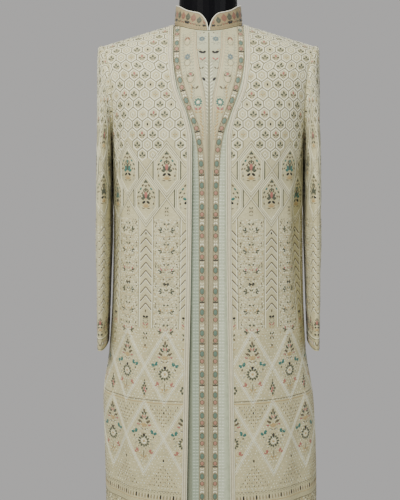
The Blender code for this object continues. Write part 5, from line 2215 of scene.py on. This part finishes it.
    def sew(self, name: str, chart: Motif, patch: Patch,
            material: bpy.types.Material, first_column: int = 0) -> bpy.types.Object:
        """Sew a chart on a patch.

        Args:
            name: the embroidery's name.
            chart: its stitches.
            patch: the cloth.
            material: the threads' material.
            first_column: the patch's column where the stitches may start.

        Returns:
            The embroidery as one mesh.
        """
        rows = chart.rows.copy()
        rows[:, SIZES] *= MILLIMETRE
        border = np.interp(rows[:, Y], patch.along[:, first_column],
                           patch.across[:, first_column])
        inside = rows[:, X] > border + self.BAND_MARGIN * bool(first_column)
        inside &= (rows[:, X] < patch.across.max()) & (rows[:, Y] < patch.along.max())
        rows = rows[inside & (rows[:, Y] > patch.along.min())]
        count = len(rows)
        mesh = bpy.data.meshes.new(name)
        mesh.vertices.add(count)
        points = np.zeros((count, 3), dtype=np.float32)
        points[:, :2] = rows[:, :2]
        mesh.vertices.foreach_set("co", points.ravel())
        heights = np.array([RELIEF[shape] for shape in Shape])[rows[:, SHAPE].astype(int)]
        size = np.column_stack((rows[:, LENGTH], rows[:, WIDTH], heights * MILLIMETRE))
        for field, kind, key, values in (
                ("turn", "FLOAT", "value", rows[:, TURN]),
                ("shape", "INT", "value", rows[:, SHAPE]),
                ("size", "FLOAT_VECTOR", "vector", size),
                ("thread", "FLOAT_VECTOR", "vector", rows[:, THREAD:])):
            layer = mesh.attributes.new(field, kind, "POINT")
            dtype = np.int32 if kind == "INT" else np.float32
            layer.data.foreach_set(key, values.astype(dtype).ravel())
        cloth = patch.face()
        leaf, knot, strand = self.shapes
        piece = apply_tree(name, mesh, self.tree, {"Cloth": cloth, "Leaf": leaf, "Dot": knot,
                                                   "Strand": strand, "Material": material})
        face = cloth.data
        bpy.data.objects.remove(cloth)
        bpy.data.meshes.remove(face)
        return piece


# Slot names by the first word of the node, the coat's own being brocade; they are looked up below
# but not given to the stitches
SLOT_OF_STITCHES = {"ribbon": "embroidered_ribbon", "inner": "mint_satin", "bib": "bib_cloth",
                    "yoke": "yoke_cloth", "edge": "plain_edge_band", "collar": "collar_cloth"}


@dataclass(frozen=True)
class Embroidery:
    """All the embroidery, charted and sewn panel by panel."""
    band_column: int = 3
    seam_shift: float = -CHEVRON_START

    def chart_for(self, node: str, patch: Patch) -> Optional[Motif]:
        """The chart of a node's piece, or None where it has no embroidery."""
        low, high = (patch.across.min() / MILLIMETRE, patch.across.max() / MILLIMETRE)
        bottom, top = (patch.along.min() / MILLIMETRE, patch.along.max() / MILLIMETRE)
        if node.startswith("front"):
            return PanelChart().chart(low, high, top)
        if node.startswith("back"):
            shift = self.seam_shift
            return PanelChart().chart(low - shift, high - shift, top).moved(shift, 0)
        if node.startswith("sleeve"):
            return SleeveChart().chart(low, high, top, -10.0 if "upper" in node else 10.0)
        if node.startswith("ribbon"):
            return RibbonChart().chart(bottom, top)
        if node.startswith("edge_band"):
            return band_chart(bottom, top)
        if node.startswith("inner_front"):
            # On the wearer's right the rungs take a darker mint: painted shade of the coat's edge
            return satin_chart(bottom, 1240,
                               Thread.SEA if node.endswith("right") else Thread.MINT)
        if node.startswith("yoke"):
            return yoke_chart()
        if node.startswith("bib"):
            return bib_chart()
        return collar_chart(high - low)

    def build(self, patches: Mapping[str, Patch], wardrobe: Wardrobe) -> None:
        """Sew every panel's chart."""
        tree = StitchTree()
        material = wardrobe.get(Finish.THREAD)
        for node, patch in patches.items():
            chart = self.chart_for(node, patch)
            first = self.band_column if node.startswith("front") else 0
            piece = tree.sew(f"{node}_stitches", chart, patch, material, first)
            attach(piece, BODY)
            SLOT_OF_STITCHES.get(node.split("_")[0], "embroidered_brocade")
            log.info("%s: %d stitches, %d faces", piece.name, len(chart.rows),
                     len(piece.data.polygons))


@dataclass(frozen=True)
class Studio:
    """The camera at the photograph's angle, soft light and a plain floor."""
    camera_place: tuple[float, float, float] = (-0.018, -1.790, 1.221)
    pitch: float = 7.0
    focal_length: float = 59.0
    floor_radius: float = 0.62

    def aim(self) -> None:
        """Place the camera."""
        lens = bpy.data.cameras.new("camera")
        lens.lens = self.focal_length
        lens.clip_start = 0.05
        camera = show("camera", lens)
        camera.location = self.camera_place
        camera.rotation_euler = (math.radians(90 - self.pitch), 0, 0)
        bpy.context.scene.camera = camera

    def light(self, name: str, place: tuple[float, float, float], size: float, power: float,
              colour: Colour = (1.0, 1.0, 1.0)) -> None:
        """Add one soft square light, aimed at the coat's chest."""
        lamp = bpy.data.lights.new(name, "AREA")
        lamp.shape = "SQUARE"
        lamp.size = size
        lamp.energy = power
        lamp.color = colour
        shown = show(name, lamp)
        shown.location = place
        aim = Vector((0.0, 0.0, 1.05)) - shown.location
        shown.rotation_euler = aim.to_track_quat("-Z", "Y").to_euler()

    def floor(self) -> None:
        """A plain pale round floor, small enough to leave the wall's tone behind the coat."""
        turns = [math.tau * share for share in even(96)][:-1]
        mesh = bpy.data.meshes.new("studio_floor")
        mesh.from_pydata([(self.floor_radius * math.cos(turn),
                           self.floor_radius * math.sin(turn), 0) for turn in turns],
                         [], [list(range(len(turns)))])
        shader = Shader("studio_floor_paint")
        grain = shader.noise(shader.place(), 0.4, 3.0)
        shader.set(Base_Color=shader.blend((0.44, 0.42, 0.43, 1), (0.48, 0.46, 0.47, 1), grain),
                   Roughness=0.8)
        mesh.materials.append(shader.material)
        show("studio_floor", mesh)

    def build(self) -> None:
        """Set up camera, lights, floor and a soft surrounding glow."""
        self.aim()
        self.light("key", (-1.1, -2.0, 2.8), size=1.2, power=112, colour=(1.0, 0.98, 0.91))
        self.light("fill", (1.9, -2.1, 1.9), size=1.4, power=22, colour=(0.96, 0.98, 1.0))
        self.light("rim", (0.6, 2.2, 2.6), size=1.6, power=24)
        self.floor()
        world = bpy.data.worlds.new("studio")
        world.use_nodes = True
        glow = world.node_tree.nodes["Background"]
        glow.inputs["Color"].default_value = (0.54, 0.53, 0.52, 1.0)
        glow.inputs["Strength"].default_value = 0.85
        bpy.context.scene.world = world


def dress_stand(wardrobe: Wardrobe) -> None:
    """Give the form and its stand their finishes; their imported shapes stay."""
    for node, finish in (("form_torso", Finish.FORM), ("form_pole", Finish.STEEL),
                         ("form_base", Finish.STEEL)):
        for slot in frame["nodes"][node].material_slots:
            slot.material = wardrobe.get(finish)
        log.info("%s: new finish", node)


def main() -> None:
    """Build every piece in order."""
    logging.basicConfig(level=logging.INFO, format="%(name)s: %(message)s")
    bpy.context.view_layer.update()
    wardrobe = Wardrobe()
    cords = CordTree()
    Studio().build()
    dress_stand(wardrobe)
    patches = CoatPanels().build(wardrobe)
    patches.update(InnerFronts().build(wardrobe))
    patches.update(Sleeves().build(wardrobe))
    patches.update(Collar().build(wardrobe, cords))
    Embroidery().build(patches, wardrobe)
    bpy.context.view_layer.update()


if __name__ == "__main__":
    main()
